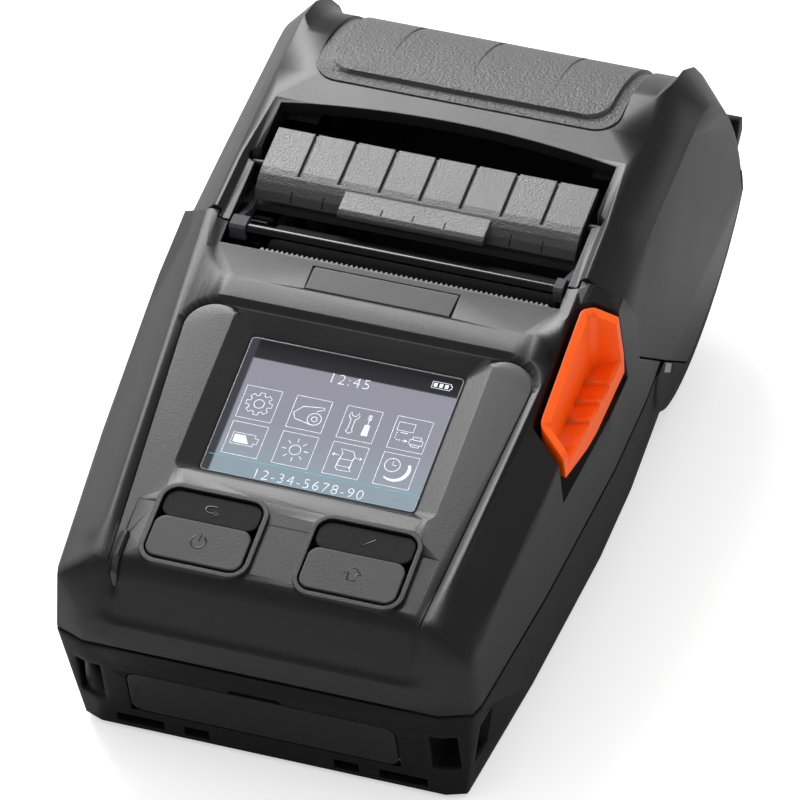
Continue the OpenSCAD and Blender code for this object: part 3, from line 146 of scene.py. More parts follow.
@dataclass(frozen=True)
class Finish:
    """One finish: its colour, gloss and texture, made into a material once.

    Attributes:
        name: Name of the material.
        colour: Base colour, linear.
        rough: Mean roughness.
        metal: Metallic share.
        grain: Texture of the surface.
        depth: Height of the texture in millimetres.
        scale: Cells of the texture per metre.
        spread: Share by which the colour varies over the piece.
        gleam: Specular level; 0.5 is plain plastic.
        edge: Radius of the soft edges in millimetres, or 0 for none.
        wear: How much an edge is painted lighter, as rubbed wear and as a painted highlight, 0 to 1.
        see: Transmission weight.
        ior: Index of refraction.
        glow: Strength of its own light.
        corner: A corner that is rounder, as |X|, |Y| and its radius in millimetres, or None.
    """

    name: str
    colour: Colour
    rough: float = 0.5
    metal: float = 0.0
    grain: Grain = Grain.FINE
    depth: float = 0.02
    scale: float = 2600.0
    spread: float = 0.12
    gleam: float = 0.5
    edge: float = 0.0
    wear: float = 0.0
    see: float = 0.0
    ior: float = 1.5
    glow: float = 0.0
    corner: tuple[float, float, float] | None = None

    def material(self) -> bpy.types.Material:
        """Make the material, or give back the one already made.

        Returns:
            The material of this finish.
        """
        made = bpy.data.materials.get(self.name)
        if made:
            return made
        made = bpy.data.materials.new(self.name)
        tree = Tree.of(made)
        shader = tree.nodes["Principled BSDF"]
        place = tree.add("TexCoord").outputs["Object"]
        cells = {"Scale": MOTTLE_SCALE, "Detail": MOTTLE_DETAIL, "Vector": place}
        mottle = tree.add("TexNoise", cells).outputs["Fac"]
        tint = tree.mix(mottle, self._shade(1 - self.spread), self._shade(1 + self.spread))
        least, most = max(ROUGH_MIN, self.rough - GLOSS_SWING), min(1.0, self.rough + GLOSS_SWING)
        normal = self._soft_edge(tree, place)
        # Edges are made lighter: rubbed wear, and a painted highlight on hollow and outer edges alike.
        if normal is not None and self.wear:
            tint = self._rub(tree, normal, mottle, tint)
        if self.grain is not Grain.NONE:
            normal = self._grained(tree, place, normal)
        tree.feed(shader, {"Metallic": self.metal, "IOR": self.ior, "Transmission Weight": self.see,
                           "Specular IOR Level": self.gleam, "Emission Strength": self.glow,
                           "Roughness": tree.remap(mottle, least, most), "Base Color": tint})
        if self.glow:
            tree.feed(shader, {"Emission Color": tint})
        if normal is not None:
            tree.feed(shader, {"Normal": normal})
        return made

    def _shade(self, share: float) -> tuple[float, ...]:
        """Give the colour times a share, at most white, with its alpha."""
        return (*[min(1.0, value * share) for value in self.colour], 1)

    def _soft_edge(self, tree: Tree, place: Socket) -> Socket | None:
        """Round the look of the edges, if the finish has soft edges.

        Args:
            tree: Tree of the material.
            place: Socket of the object's own coordinates.

        Returns:
            The socket of the softened normal, or None.
        """
        if not self.edge:
            return None
        radius: Feed = self.edge * MM
        if self.corner:
            x, y, bend = [value * MM for value in self.corner]
            fold = tree.add("VectorMath", {0: place}, operation="ABSOLUTE")
            flat = tree.add("VectorMath", {0: fold.outputs["Vector"], 1: (1, 1, 0)}, operation="MULTIPLY")
            away = tree.add("VectorMath", {0: flat.outputs["Vector"], 1: (x, y, 0)}, operation="DISTANCE")
            radius = tree.remap(away.outputs["Value"], bend, radius, CORNER_NEAR * MM, CORNER_FAR * MM)
        return tree.add("Bevel", {"Radius": radius}, samples=EDGE_SAMPLES).outputs["Normal"]

    def _rub(self, tree: Tree, soft: Socket, mottle: Socket, tint: Socket) -> Socket:
        """Lighten the edges, as rubbed wear and as a painted highlight, on hollow edges as on outer ones.

        Args:
            tree: Tree of the material.
            soft: Socket of the softened normal.
            mottle: The broad noise, which breaks up the wear and the painted highlight.
            tint: Colour socket of the plain surface.

        Returns:
            The colour socket with the wear.
        """
        shape = tree.add("NewGeometry").outputs["Normal"]
        turn = tree.add("VectorMath", {0: soft, 1: shape}, operation="DOT_PRODUCT").outputs["Value"]
        near = tree.remap(turn, 0.0, self.wear, WEAR_HIGHLIGHT_START, WEAR_HIGHLIGHT_FULL)
        broken = tree.add("Math", {0: near, 1: mottle}, operation="MULTIPLY").outputs["Value"]
        # Colour of the lighter edges: partly rubbed wear, partly a painted highlight.
        rubbed_and_lit = [min(1.0, value * WEAR_HIGHLIGHT_GAIN + WEAR_HIGHLIGHT_LIFT) for value in self.colour]
        return tree.mix(broken, tint, (*rubbed_and_lit, 1))

    def _grained(self, tree: Tree, place: Socket, soft: Socket | None) -> Socket:
        """Add the mould texture as a bump.

        Args:
            tree: Tree of the material.
            place: Socket of the object's own coordinates.
            soft: Socket of the softened normal, or None.

        Returns:
            The socket of the normal with the bump.
        """
        stretch = BRUSH_STRETCH if self.grain is Grain.BRUSHED else (1.0, 1.0, 1.0)
        detail, noise_rough, strength = COARSE_NOISE if self.grain is Grain.COARSE else PLAIN_NOISE
        turned = tree.add("Mapping", {"Vector": place, "Scale": stretch}).outputs["Vector"]
        where = {"Vector": turned, "Scale": self.scale}
        if self.grain is Grain.WOVEN:
            height = tree.add("TexVoronoi", where, distance="MANHATTAN").outputs["Distance"]
        else:
            where |= {"Detail": detail, "Roughness": noise_rough}
            height = tree.add("TexNoise", where).outputs["Fac"]
        bump = tree.add("Bump", {"Height": height, "Strength": strength, "Distance": self.depth * MM})
        if soft is not None:
            tree.feed(bump, {"Normal": soft})
        return bump.outputs["Normal"]

    def dress(self, piece: bpy.types.Object) -> None:
        """Put this finish on a piece.

        Args:
            piece: The object, a CAD node or a new piece.
        """
        if not piece.material_slots:
            piece.data.materials.append(self.material())
        for place in piece.material_slots:
            place.link = "OBJECT"
            place.material = self.material()


brushed = partial(Finish, metal=1.0, grain=Grain.BRUSHED)
coarse = partial(Finish, grain=Grain.COARSE)
smooth = partial(Finish, grain=Grain.NONE)

CASE_TOP = Finish("case_top", (0.0095, 0.0093, 0.0099), rough=0.39, depth=0.05, scale=3000, edge=0.35,
                  wear=0.5, corner=(40.0, 82.0, 5.0))
# Same plastic as the upper case, given a darker colour and lower gleam as painted shade on the lower walls,
# which face away from the lamps.
CASE_LOW_SHADED = Finish("case_low_painted_shade", (0.007, 0.007, 0.0075), rough=0.42, depth=0.05, scale=3000, gleam=0.12,
                  edge=0.3, wear=0.5, corner=(40.0, 84.0, 2.2))
LID_FINISH = Finish("lid_plastic", (0.0095, 0.0093, 0.0099), rough=0.41, depth=0.05, scale=3000,
                    edge=0.35, wear=0.5)
PAD_FINISH = coarse("pad_plastic", (0.042, 0.0415, 0.043), rough=0.44, depth=0.46, scale=1750, gleam=1.0,
                    edge=0.25, wear=0.2)
FLAP_FINISH = coarse("flap_plastic", (0.024, 0.0235, 0.0238), rough=0.44, depth=0.12, gleam=1.0,
                     edge=0.45, wear=0.3)
KEY_LOWER = coarse("key_rubber", (0.022, 0.0216, 0.0226), rough=0.55, depth=0.07, scale=2800, edge=0.5,
                   wear=0.3)
# Same rubber as the lower keys, given a darker colour and lower gleam as painted shade on the upper keys,
# which face away from the light.
KEY_UPPER_SHADED = coarse("key_rubber_dark", (0.004, 0.004, 0.0045), depth=0.04, gleam=0.12, edge=0.5, wear=0.3)
COVER_RUBBER = Finish("cover_rubber", (0.008, 0.008, 0.009), rough=0.45, depth=0.03, gleam=0.35, edge=0.5,
                      wear=0.3)
# Black seal rubber; the same black also paints the shade of the gaps beside the side tabs and in the flap's
# grip grooves.
SEAL_AND_SHADE = Finish("seal_rubber_and_shade", (0.004, 0.004, 0.004), rough=0.6, gleam=0.3)
# Black plastic inside the printer, made darker than the case's plastic as painted shade of the dark interior.
INNER_SHADED = Finish("inner_plastic", (0.003, 0.003, 0.0032), rough=0.6, gleam=0.1, edge=0.3)
ORANGE = Finish("lever_orange", (1.0, 0.108, 0.004), rough=0.4, depth=0.03, spread=0.04, gleam=0.28, edge=0.5)
STEEL = brushed("plain_steel", (0.42, 0.43, 0.45), rough=0.34, depth=0.01)
CUT_STEEL = brushed("cutter_steel", (0.10, 0.10, 0.102), rough=0.42, depth=0.01, edge=0.2)
DARK_STEEL = brushed("blackened_steel", (0.05, 0.05, 0.052), rough=0.4, depth=0.01)
POLISHED = brushed("polished_bar", (0.05, 0.05, 0.052), rough=0.22, depth=0.002)
SHEET = brushed("zinc_sheet", (0.10, 0.10, 0.105), rough=0.45)
BRASS = brushed("cut_brass", (0.62, 0.42, 0.14), rough=0.28, depth=0.01)
GOLD = brushed("gold_contact", (0.75, 0.52, 0.20), rough=0.25, depth=0.004)
TAB = Finish("tab_steel", (0.42, 0.42, 0.43), rough=0.4, metal=0.6, grain=Grain.BRUSHED, depth=0.01)
ANODISED = Finish("anodised_plate", (0.02, 0.02, 0.022), rough=0.45, metal=0.6)
CERAMIC = Finish("glazed_ceramic", (0.62, 0.61, 0.56), rough=0.2, depth=0.002, scale=900)
# Black acetal and ground rubber, made darker still as painted shade of the dark interior where the bushes,
# gears and roller sit.
ACETAL = Finish("black_acetal", (0.005, 0.005, 0.0055), rough=0.45, gleam=0.15, depth=0.01)
ROLLER = Finish("ground_rubber", (0.006, 0.006, 0.0065), rough=0.7, gleam=0.15, depth=0.05)
BOARD = Finish("solder_mask", (0.012, 0.10, 0.045), rough=0.3, grain=Grain.WOVEN, depth=0.03, scale=900)
SOCKET = Finish("black_moulding", (0.012, 0.012, 0.012), rough=0.4)
BATTERY = Finish("battery_plastic", (0.014, 0.014, 0.015), depth=0.04, edge=0.6, wear=0.3)
SILICONE = Finish("clear_silicone", (0.010, 0.010, 0.011), rough=0.55, gleam=0.3)
LIGHT_PIPE = Finish("milky_pipe", (0.030, 0.031, 0.033), rough=0.3, depth=0.004, edge=0.3)
PLATE = Finish("bare_plate", (0.024, 0.024, 0.025), rough=0.34, depth=0.012, edge=0.3, wear=0.3)
PANEL_GLASS = smooth("lens", (0.97, 0.97, 0.98), rough=0.03, gleam=0.3, see=1.0, ior=1.46, spread=0.01)
LCD = Finish("display_body", (0.01, 0.01, 0.011), gleam=0.0, depth=0.004)
SYMBOL = smooth("display_white", (0.74, 0.74, 0.80), rough=0.4, gleam=0.0, spread=0.03, glow=0.72)
RULE = smooth("display_cyan", (0.12, 0.42, 0.47), rough=0.4, gleam=0.0, spread=0.03, glow=0.7)
RIM = smooth("window_rim", (0.16, 0.16, 0.17), rough=0.22, spread=0.03)
# Black lines of the key symbols: painted shade of the engraved symbols.
ENGRAVING_SHADE = smooth("key_symbol", (0.004, 0.004, 0.004), rough=0.25, spread=0.05)


def dress_nodes(pairs: tuple[tuple[str, Finish], ...]) -> None:
    """Put finishes on CAD nodes, given as pairs of a name and a finish."""
    for node, finish in pairs:
        finish.dress(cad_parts[node])
        LOG.info("%s: %s", node, finish.name)


def surface_of(node: str) -> BVHTree:
    """Give the faces of a CAD node, ready for rays."""
    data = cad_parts[node].data
    return BVHTree.FromPolygons([v.co for v in data.vertices], [f.vertices for f in data.polygons])


def new_object(name: str, form: bmesh.types.BMesh) -> bpy.types.Object:
    """Turn a form into an object of the scene, at the origin, and free the form.

    Args:
        name: Name of the object.
        form: The form, in metres.

    Returns:
        The object.
    """
    mesh = bpy.data.meshes.new(name)
    form.to_mesh(mesh)
    form.free()
    made = bpy.data.objects.new(name, mesh)
    bpy.context.scene.collection.objects.link(made)
    LOG.info("%s: %d faces", name, len(mesh.polygons))
    return made


def loft(form: bmesh.types.BMesh, rings: list[list[Vector]]) -> None:
    """Add a closed bar to a form, through rings of points.

    Args:
        form: The form that grows.
        rings: Rings of as many points each, in metres.
    """
    turns = [[form.verts.new(spot) for spot in ring] for ring in rings]
    form.faces.new(turns[0])
    form.faces.new(turns[-1])
    for first, second in zip(turns, turns[1:]):
        for i in range(len(first)):
            form.faces.new((first[i], first[i - 1], second[i - 1], second[i]))
    bmesh.ops.recalc_face_normals(form, faces=form.faces)


@dataclass
class Softened:
    """A copy of a CAD node with its doubles merged, shaded as one smooth moulding.

    Attributes:
        node: Name of the CAD node that it replaces.
        body: Body that it rides on.
        slot: Material slot of the record; not used.
        finish: Its finish.
        angle: Edges steeper than this stay edges, in degrees.
        merge: Points nearer than this are one, in metres.
        weight: How far large faces lead the normals, 50 for not at all.
    """

    node: str
    body: str
    slot: str
    finish: Finish
    angle: float = 24.0
    merge: float = 2e-6
    weight: int = 80

    def build(self) -> None:
        """Make the piece."""
        form = bmesh.new()
        form.from_mesh(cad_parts[self.node].data)
        bmesh.ops.remove_doubles(form, verts=form.verts, dist=self.merge)
        piece = new_object(self.node + "_soft", form)
        piece.data.shade_smooth()
        piece.data.set_sharp_from_angle(angle=math.radians(self.angle))
        even = piece.modifiers.new("even_normals", "WEIGHTED_NORMAL")
        even.keep_sharp = True
        even.weight = self.weight
        self.finish.dress(piece)
        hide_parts(self.node)
        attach(piece, self.body)


@dataclass(frozen=True)
class Panel:
    """The slope that carries display and keys, as a frame of its own.

    Attributes:
        slope: Rise of the panel towards the rear, in degrees.
    """

    slope: float = 13.065069

    def place(self, x: float, along: float, height: float) -> Matrix:
        """Give the place of a point on the panel.

        Args:
            x: Across, in millimetres.
            along: Up the slope from the origin, in millimetres.
            height: Square to the panel, in millimetres.

        Returns:
            The matrix that carries metres of the panel's frame into the row frame.
        """
        lean = Matrix.Rotation(math.radians(self.slope), 4, "X")
        return lean @ Matrix.Translation(Vector((x, along, height)) * MM)

    def top_of(self, node: str, x: float, along: float) -> float:
        """Find how high a node's surface is over a spot of the panel.

        Args:
            node: Name of the CAD node.
            x: Across, in millimetres.
            along: Up the slope, in millimetres.

        Returns:
            The height in millimetres.
        """
        lean = Matrix.Rotation(math.radians(self.slope), 4, "X")
        start = lean @ (Vector((x, along, ABOVE)) * MM)
        spot = surface_of(node).ray_cast(start, lean.to_3x3() @ Vector((0, 0, -1)))[0]
        return (lean.inverted() @ spot).z / MM


def around(wide: float, tall: float, degrees: list[float] | range, at: Spot = (0, 0)) -> list[Spot]:
    """Give spots on an ellipse, at angles in degrees."""
    turns = [math.radians(angle) for angle in degrees]
    return [(at[0] + wide * math.cos(turn), at[1] + tall * math.sin(turn)) for turn in turns]


def rounded(width: float, length: float, radius: float, steps: int = 5) -> list[Spot]:
    """Give the points of a rounded rectangle about the origin.

    Args:
        width: Size along X.
        length: Size along Y.
        radius: Radius of the corners.
        steps: Steps in each corner.

    Returns:
        The points, anticlockwise.
    """
    spots = []
    for corner, (sx, sy) in enumerate(((1, 1), (-1, 1), (-1, -1), (1, -1))):
        centre = (sx * (width / 2 - radius), sy * (length / 2 - radius))
        spots += around(radius, radius, [90 * corner + 90 * i / steps for i in range(steps + 1)], at=centre)
    return spots


@dataclass
class Drawing:
    """Thin lines, filled outlines and plain numbers on a flat face, made into one mesh.

    Attributes:
        name: Name of the piece.
        pen: Width of a line in millimetres.
        flat: Height of a line as a share of its width.
        middle: Spot that new lines and outlines are placed from.
        lines: Polylines, each with its points and whether it is closed.
        fills: Closed outlines that are filled.
        words: Numbers, each with its middle and its height.
        digit: Height of a digit as a share of the font's size.
        thin: Share of the height by which the digits are thinner than the font.
        apart: Distance of the digits as a share of the font's own.
    """

    name: str
    pen: float
    flat: float = 0.3
    middle: Spot = (0, 0)
    lines: list[tuple[list[Spot], bool]] = field(default_factory=list)
    fills: list[list[Spot]] = field(default_factory=list)
    words: list[tuple[str, Spot, float]] = field(default_factory=list)
    digit: float = 0.7
    thin: float = 0.028
    apart: float = 1.18

    def line(self, *spots: Spot, at: Spot = (0, 0), grow: float = 1.0, closed: bool = False) -> None:
        """Add a polyline."""
        self.lines.append((self._put(spots, at, grow), closed))

    def fill(self, *spots: Spot, at: Spot = (0, 0), grow: float = 1.0) -> None:
        """Add a filled outline."""
        self.fills.append(self._put(spots, at, grow))

    def _put(self, spots: tuple[Spot, ...], at: Spot, grow: float) -> list[Spot]:
        """Give spots, grown about their own origin and then moved beside the drawing's middle."""
        x0, y0 = self.middle[0] + at[0], self.middle[1] + at[1]
        return [(x0 + x * grow, y0 + y * grow) for x, y in spots]

    def box(self, width: float, height: float, at: Spot = (0, 0), filled: bool = False) -> None:
        """Add a rectangle.

        Args:
            width: Size along X.
            height: Size along Y.
            at: Its centre, from the drawing's middle.
            filled: Whether it is filled.
        """
        x, y = width / 2, height / 2
        corners = ((-x, -y), (x, -y), (x, y), (-x, y))
        if filled:
            self.fill(*corners, at=at)
        else:
            self.line(*corners, at=at, closed=True)

    def arc(self, radius: float, at: Spot = (0, 0), start: float = 0.0, end: float = 360.0,
            steps: int = 28) -> None:
        """Add an arc or, from 0 to 360, a ring.

        Args:
            radius: Its radius.
            at: Its centre, from the drawing's middle.
            start: Angle of its start in degrees.
            end: Angle of its end.
            steps: Number of its straight parts.
        """
        whole = abs(end - start) >= 360
        count = steps if whole else steps + 1
        angles = [start + (end - start) * i / steps for i in range(count)]
        self.line(*around(radius, radius, angles), at=at, closed=whole)

    def _curve(self, runs: list[tuple[list[Spot], bool]]) -> bpy.types.Curve:
        """Make a curve of straight runs from point to point.

        Args:
            runs: Points of each run, and whether it is closed.

        Returns:
            The curve.
        """
        data = bpy.data.curves.new(self.name + "curve", "CURVE")
        for spots, closed in runs:
            run = data.splines.new("POLY")
            run.points.add(len(spots) - 1)
            run.use_cyclic_u = closed
            for point, (x, y) in zip(run.points, spots):
                point.co = (x, y, 0, 1)
        return data

    def _take(self, data: bpy.types.Curve, form: bmesh.types.BMesh, move: Matrix) -> None:
        """Turn a curve into mesh and add it to the form.

        Args:
            data: The curve or text.
            form: The mesh that grows.
            move: Where the new faces go.
        """
        holder = bpy.data.objects.new(data.name, data)
        bpy.context.scene.collection.objects.link(holder)
        graph = bpy.context.evaluated_depsgraph_get()
        mesh = bpy.data.meshes.new_from_object(holder.evaluated_get(graph), depsgraph=graph)
        mesh.transform(move)
        form.from_mesh(mesh)
        bpy.data.objects.remove(holder)
        bpy.data.meshes.remove(mesh)

    def piece(self, place: Matrix, finish: Finish, body: str, slot: str) -> None:
        """Make the drawing as one piece.

        Args:
            place: Where the drawing's plane lies.
            finish: Its finish.
            body: Body that it rides on.
            slot: Material slot of the record; not used.
        """
        form = bmesh.new()
        thick = self.pen * self.flat / 2
        if self.lines:
            data = self._curve(self.lines)
            data.dimensions, data.bevel_depth, data.bevel_resolution = "3D", self.pen / 2, 1
            data.use_fill_caps = True
            self._take(data, form, Matrix.Diagonal((1, 1, self.flat, 1)))
        if self.fills:
            data = self._curve([(spots, True) for spots in self.fills])
            data.dimensions, data.fill_mode, data.extrude = "2D", "BOTH", thick
            self._take(data, form, Matrix())
        for text, (x, y), height in self.words:
            data = bpy.data.curves.new(self.name + "font", "FONT")
            data.body, data.size = text, height / self.digit
            data.align_x, data.align_y = "CENTER", "CENTER"
            data.extrude, data.resolution_u = thick, 3
            data.offset, data.space_character = -self.thin * height, self.apart
            self._take(data, form, Matrix.Translation((x, y, 0)))
        bmesh.ops.transform(form, matrix=place @ Matrix.Scale(MM, 4), verts=form.verts)
        made = new_object(self.name, form)
        finish.dress(made)
        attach(made, body)


class Icons(Drawing):
    """The plain icons of the display, each drawn about the drawing's middle."""

    def gear(self) -> None:
        """Draw a gear wheel with eight teeth."""
        edge = []
        for tooth in range(8):
            for shift, radius in ((-15, 1.95), (-10, 2.6), (10, 2.6), (15, 1.95)):
                edge += around(radius, radius, [45 * tooth + shift])
        self.line(*edge, closed=True)
        self.arc(1.0, steps=20)

    def roll(self) -> None:
        """Draw a printer from the side with its paper roll."""
        self.line((-3, -0.2), (-1.6, 1.5), (2.4, 2.0), (2.6, 1.6), (1.2, 0.9))
        self.line((-3, -0.2), (-2.4, -1.5), (0.6, -2.2), (1.6, -2.3))
        self.arc(1.35, at=(1.3, -0.9))
        self.arc(0.55, at=(1.3, -0.9), steps=14)

    def tools(self) -> None:
        """Draw a spanner and a screwdriver."""
        self.line((-2.3, 2.5), (-1.9, 1.6), (-1.2, 1.6), (-0.8, 2.5), (-0.5, 1.5), (-1.15, 0.8),
                  (-1.15, -1.4), (-0.9, -1.9), (-1.55, -2.5), (-2.2, -1.9), (-1.95, -1.4), (-1.95, 0.8),
                  (-2.6, 1.5), closed=True)
        self.line((1.5, 2.5), (1.5, 0.3))
        self.line((1.2, 2.4), (1.8, 2.4), (1.8, 1.4), (1.2, 1.4), closed=True)
        self.fill((1.0, 0.2), (2.0, 0.2), (2.15, -2.3), (0.85, -2.3))

    def linked(self) -> None:
        """Draw a screen joined to a small printer by a dotted line."""
        self.box(3.2, 1.9, at=(-1.2, 1.5))
        self.line((-1.9, 0.15), (-0.5, 0.15))
        for spot in ((-2.6, 0.0), (-2.6, -0.6), (-2.6, -1.2), (-2.2, -1.6), (-1.6, -1.6), (-1.0, -1.6)):
            self.box(0.22, 0.22, at=spot, filled=True)
        self.fill((-0.7, -1.25), (0.0, -1.6), (-0.7, -1.95))
        for width, height, drop in ((2.6, 1.1, -1.5), (1.6, 0.7, -0.6), (1.6, 0.5, -2.3)):
            self.box(width, height, at=(1.6, drop))

    def charge(self) -> None:
        """Draw a battery that is partly full."""
        self.line((-2.6, -1.3), (1.8, -1.3), (1.8, -0.6), (2.5, -0.6), (2.5, 0.6), (1.8, 0.6), (1.8, 1.3),
                  (-2.6, 1.3), closed=True)
        self.fill((-2.2, -0.9), (0.9, -0.9), (-0.1, 0.9), (-2.2, 0.9))

    def bright(self) -> None:
        """Draw a sun with eight rays."""
        self.arc(1.1)
        for x, y in around(1, 1, range(0, 360, 45)):
            self.line((x * 1.7, y * 1.7), (x * 2.6, y * 2.6))

    def feed(self) -> None:
        """Draw paper that passes a printing line."""
        self.line((-1.6, 2.4), (0.9, 2.2), (1.5, 1.2), (1.3, 0.4), (1.2, -1.6), (1.7, -2.3), (-1.0, -2.4),
                  (-1.5, -1.8), (-1.2, 0.4), (-1.0, 1.4), closed=True)
        self.box(2.6, 1.6, at=(0, -0.6))
        for side in (-1, 1):
            for step in (1.7, 2.2):
                self.box(0.22, 0.22, at=(side * step, 0.9), filled=True)
            self.fill((side * 2.5, 1.3), (side * 3.0, 0.9), (side * 2.5, 0.5))

    def rest(self) -> None:
        """Draw a clock and a crescent moon."""
        self.arc(1.5, at=(-1.1, 1.1), steps=22)
        self.line((-1.1, 2.0), (-1.1, 1.1), (-0.3, 1.1))
        outer = around(2.9, 2.9, range(-130, 31, 10))
        inner = around(2.55, 2.75, range(20, -121, -10), at=(-0.35, 0.35))
        self.fill(*outer, *inner, at=(-0.2, 0.4))

    def battery(self) -> None:
        """Draw the small charge mark with its three bars."""
        self.line((-1.9, -0.75), (1.7, -0.75), (1.7, -0.35), (2.0, -0.35), (2.0, 0.35), (1.7, 0.35),
                  (1.7, 0.75), (-1.9, 0.75), closed=True)
        for bar in (-1.25, -0.15, 0.95):
            self.box(0.7, 0.9, at=(bar, 0), filled=True)


@dataclass
class Display:
    """Lit picture under the lens: grey field, dark bar, icons and plain numbers.

    Attributes:
        panel: The slope that it lies in.
        wide: Width of the window in millimetres.
        tall: Length of the window along the panel.
        middle: Middle of the window up the slope.
        glass: Height of the display's face over the panel frame.
        ink: Height of the symbols over the face.
        rim: Height of the window's rim over the face.
        hidden: How much larger the field is than the window, which covers its edge.
        rule_ends: Gaps beside the thin rule, left and right.
        rim_in: How much smaller the rim is than the window.
        rim_bend: Radius of its corners.
        columns: Places of the icons across, as shares of the width.
        rows: Places of the icons down, as shares of the length.
        icon: Width and height of an icon box.
        rule: Place of the thin rule, as a share of the length.
        mark: Place of the charge mark, as shares of the width and length.
        numbers: Plain numbers, each with its place as shares and its height.
        ramp: Light of the field from front to rear, as shares of the length with their colours.
        shade: Light of the dark border at the left, and the shares of the width, from the middle, where
            it ends and the field starts.
    """

    panel: Panel = Panel()
    wide: float = 42.3
    tall: float = 31.3
    middle: float = -29.21
    glass: float = 57.80
    ink: float = 0.09
    rim: float = 1.24
    hidden: float = 0.8
    rule_ends: Spot = (0.3, 0.4)
    rim_in: float = 0.1
    rim_bend: float = 0.7
    columns: tuple[float, ...] = (0.14, 0.376, 0.613, 0.849)
    rows: tuple[float, ...] = (0.45, 0.72)
    icon: Spot = (7.0, 7.4)
    rule: float = 0.862
    mark: Spot = (0.905, 0.062)
    numbers: tuple[tuple[str, float, float, float], ...] = (
        ("12:45", 0.495, 0.165, 2.3), ("12-34-5678-90", 0.49, 0.942, 2.2))
    ramp: tuple[tuple[float, Colour], ...] = (
        (0.0, (0.29, 0.39, 0.45)), (0.2, (0.33, 0.38, 0.43)), (0.45, (0.33, 0.325, 0.39)),
        (0.868, (0.32, 0.315, 0.37)), (0.876, (0.03, 0.03, 0.036)), (1.0, (0.014, 0.014, 0.018)))
    shade: tuple[Colour, float, float] = ((0.05, 0.055, 0.065), -0.472, -0.462)

    def build(self) -> None:
        """Make the lit field, the symbols and the rim of the window."""
        dress_nodes((("display_lens", PANEL_GLASS), ("lcd_module", LCD)))
        self._field()
        self._symbols()
        rule = Drawing("display_rule", pen=0.16)
        level = self._y(self.rule)
        left, right = self.rule_ends
        rule.line((left - self.wide / 2, level), (self.wide / 2 - right, level))
        self._lay(rule, self.ink, RULE)
        rim = Drawing("window_rim", pen=0.3, flat=1.0)
        edge = rounded(self.wide - self.rim_in, self.tall - self.rim_in, self.rim_bend)
        rim.lines.append((edge, True))
        self._lay(rim, self.rim, RIM)

    def _x(self, share: float) -> float:
        """Turn a share of the width, from the left, into millimetres from the middle."""
        return (share - 0.5) * self.wide

    def _y(self, share: float) -> float:
        """Turn a share of the length, from the rear, into millimetres from the middle."""
        return (0.5 - share) * self.tall

    def _lay(self, drawing: Drawing, height: float, finish: Finish) -> None:
        """Lay a drawing on the display, at a height over its face."""
        drawing.piece(self.panel.place(0, self.middle, self.glass + height), finish, "case", "display")

    def _field(self) -> None:
        """Make the grey field with its dark bar, as one sheet whose colour runs down the slope."""
        form = bmesh.new()
        bmesh.ops.create_grid(form, x_segments=24, y_segments=18, size=0.5)
        bmesh.ops.scale(form, vec=(self.wide + self.hidden, self.tall + self.hidden, 1), verts=form.verts)
        place = self.panel.place(0, self.middle, self.glass)
        bmesh.ops.transform(form, matrix=place @ Matrix.Scale(MM, 4), verts=form.verts)
        lit = new_object("display_field", form)
        lit.data.materials.append(self._lit_material(place))
        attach(lit, "case")

    def _lit_material(self, place: Matrix) -> bpy.types.Material:
        """Make the material of the lit field.

        Args:
            place: Where the field lies.

        Returns:
            The material: dark at its border and bar, grey above and blue-grey below.
        """
        made = bpy.data.materials.new("display_light")
        tree = Tree.of(made)
        shader = tree.nodes["Principled BSDF"]
        turn = tree.add("Mapping", {
            "Vector": tree.add("TexCoord").outputs["Object"], "Location": place.to_translation(),
            "Rotation": place.to_euler(), "Scale": (self.wide * MM, self.tall * MM, 1),
        }, vector_type="TEXTURE")
        split = tree.add("SeparateXYZ", {"Vector": turn.outputs["Vector"]})
        rise = tree.add("Math", {0: split.outputs["Y"], 1: 0.5}, operation="ADD")
        down = tree.add("ValToRGB", {"Fac": rise.outputs["Value"]})
        stops = down.color_ramp.elements
        stops[0].color, stops[1].color = (*self.ramp[0][1], 1), (*self.ramp[-1][1], 1)
        for spot, shade in self.ramp[1:-1]:
            stops.new(spot).color = (*shade, 1)
        border, end, start = self.shade
        side = tree.remap(split.outputs["X"], 0.0, 1.0, end, start)
        light = tree.mix(side, (*border, 1), down.outputs["Color"])
        tree.feed(shader, {"Roughness": 0.5, "Specular IOR Level": 0.0, "Emission Strength": 1.0,
                           "Emission Color": light, "Base Color": (0.004, 0.004, 0.005, 1)})
        return made

    def _symbols(self) -> None:
        """Draw the icons in their boxes, the numbers and the charge mark."""
        art = Icons("display_symbols", pen=0.18)
        spots = [(self._x(a), self._y(b)) for b in self.rows for a in self.columns]
        for spot in spots:
            art.box(*self.icon, at=spot)
        for spot, draw in zip(spots, (art.gear, art.roll, art.tools, art.linked, art.charge, art.bright,
                                      art.feed, art.rest)):
            art.middle = spot
            draw()
        art.middle = (self._x(self.mark[0]), self._y(self.mark[1]))
        art.battery()
        art.words += [(text, (self._x(x), self._y(y)), height) for text, x, y, height in self.numbers]
        self._lay(art, self.ink, SYMBOL)


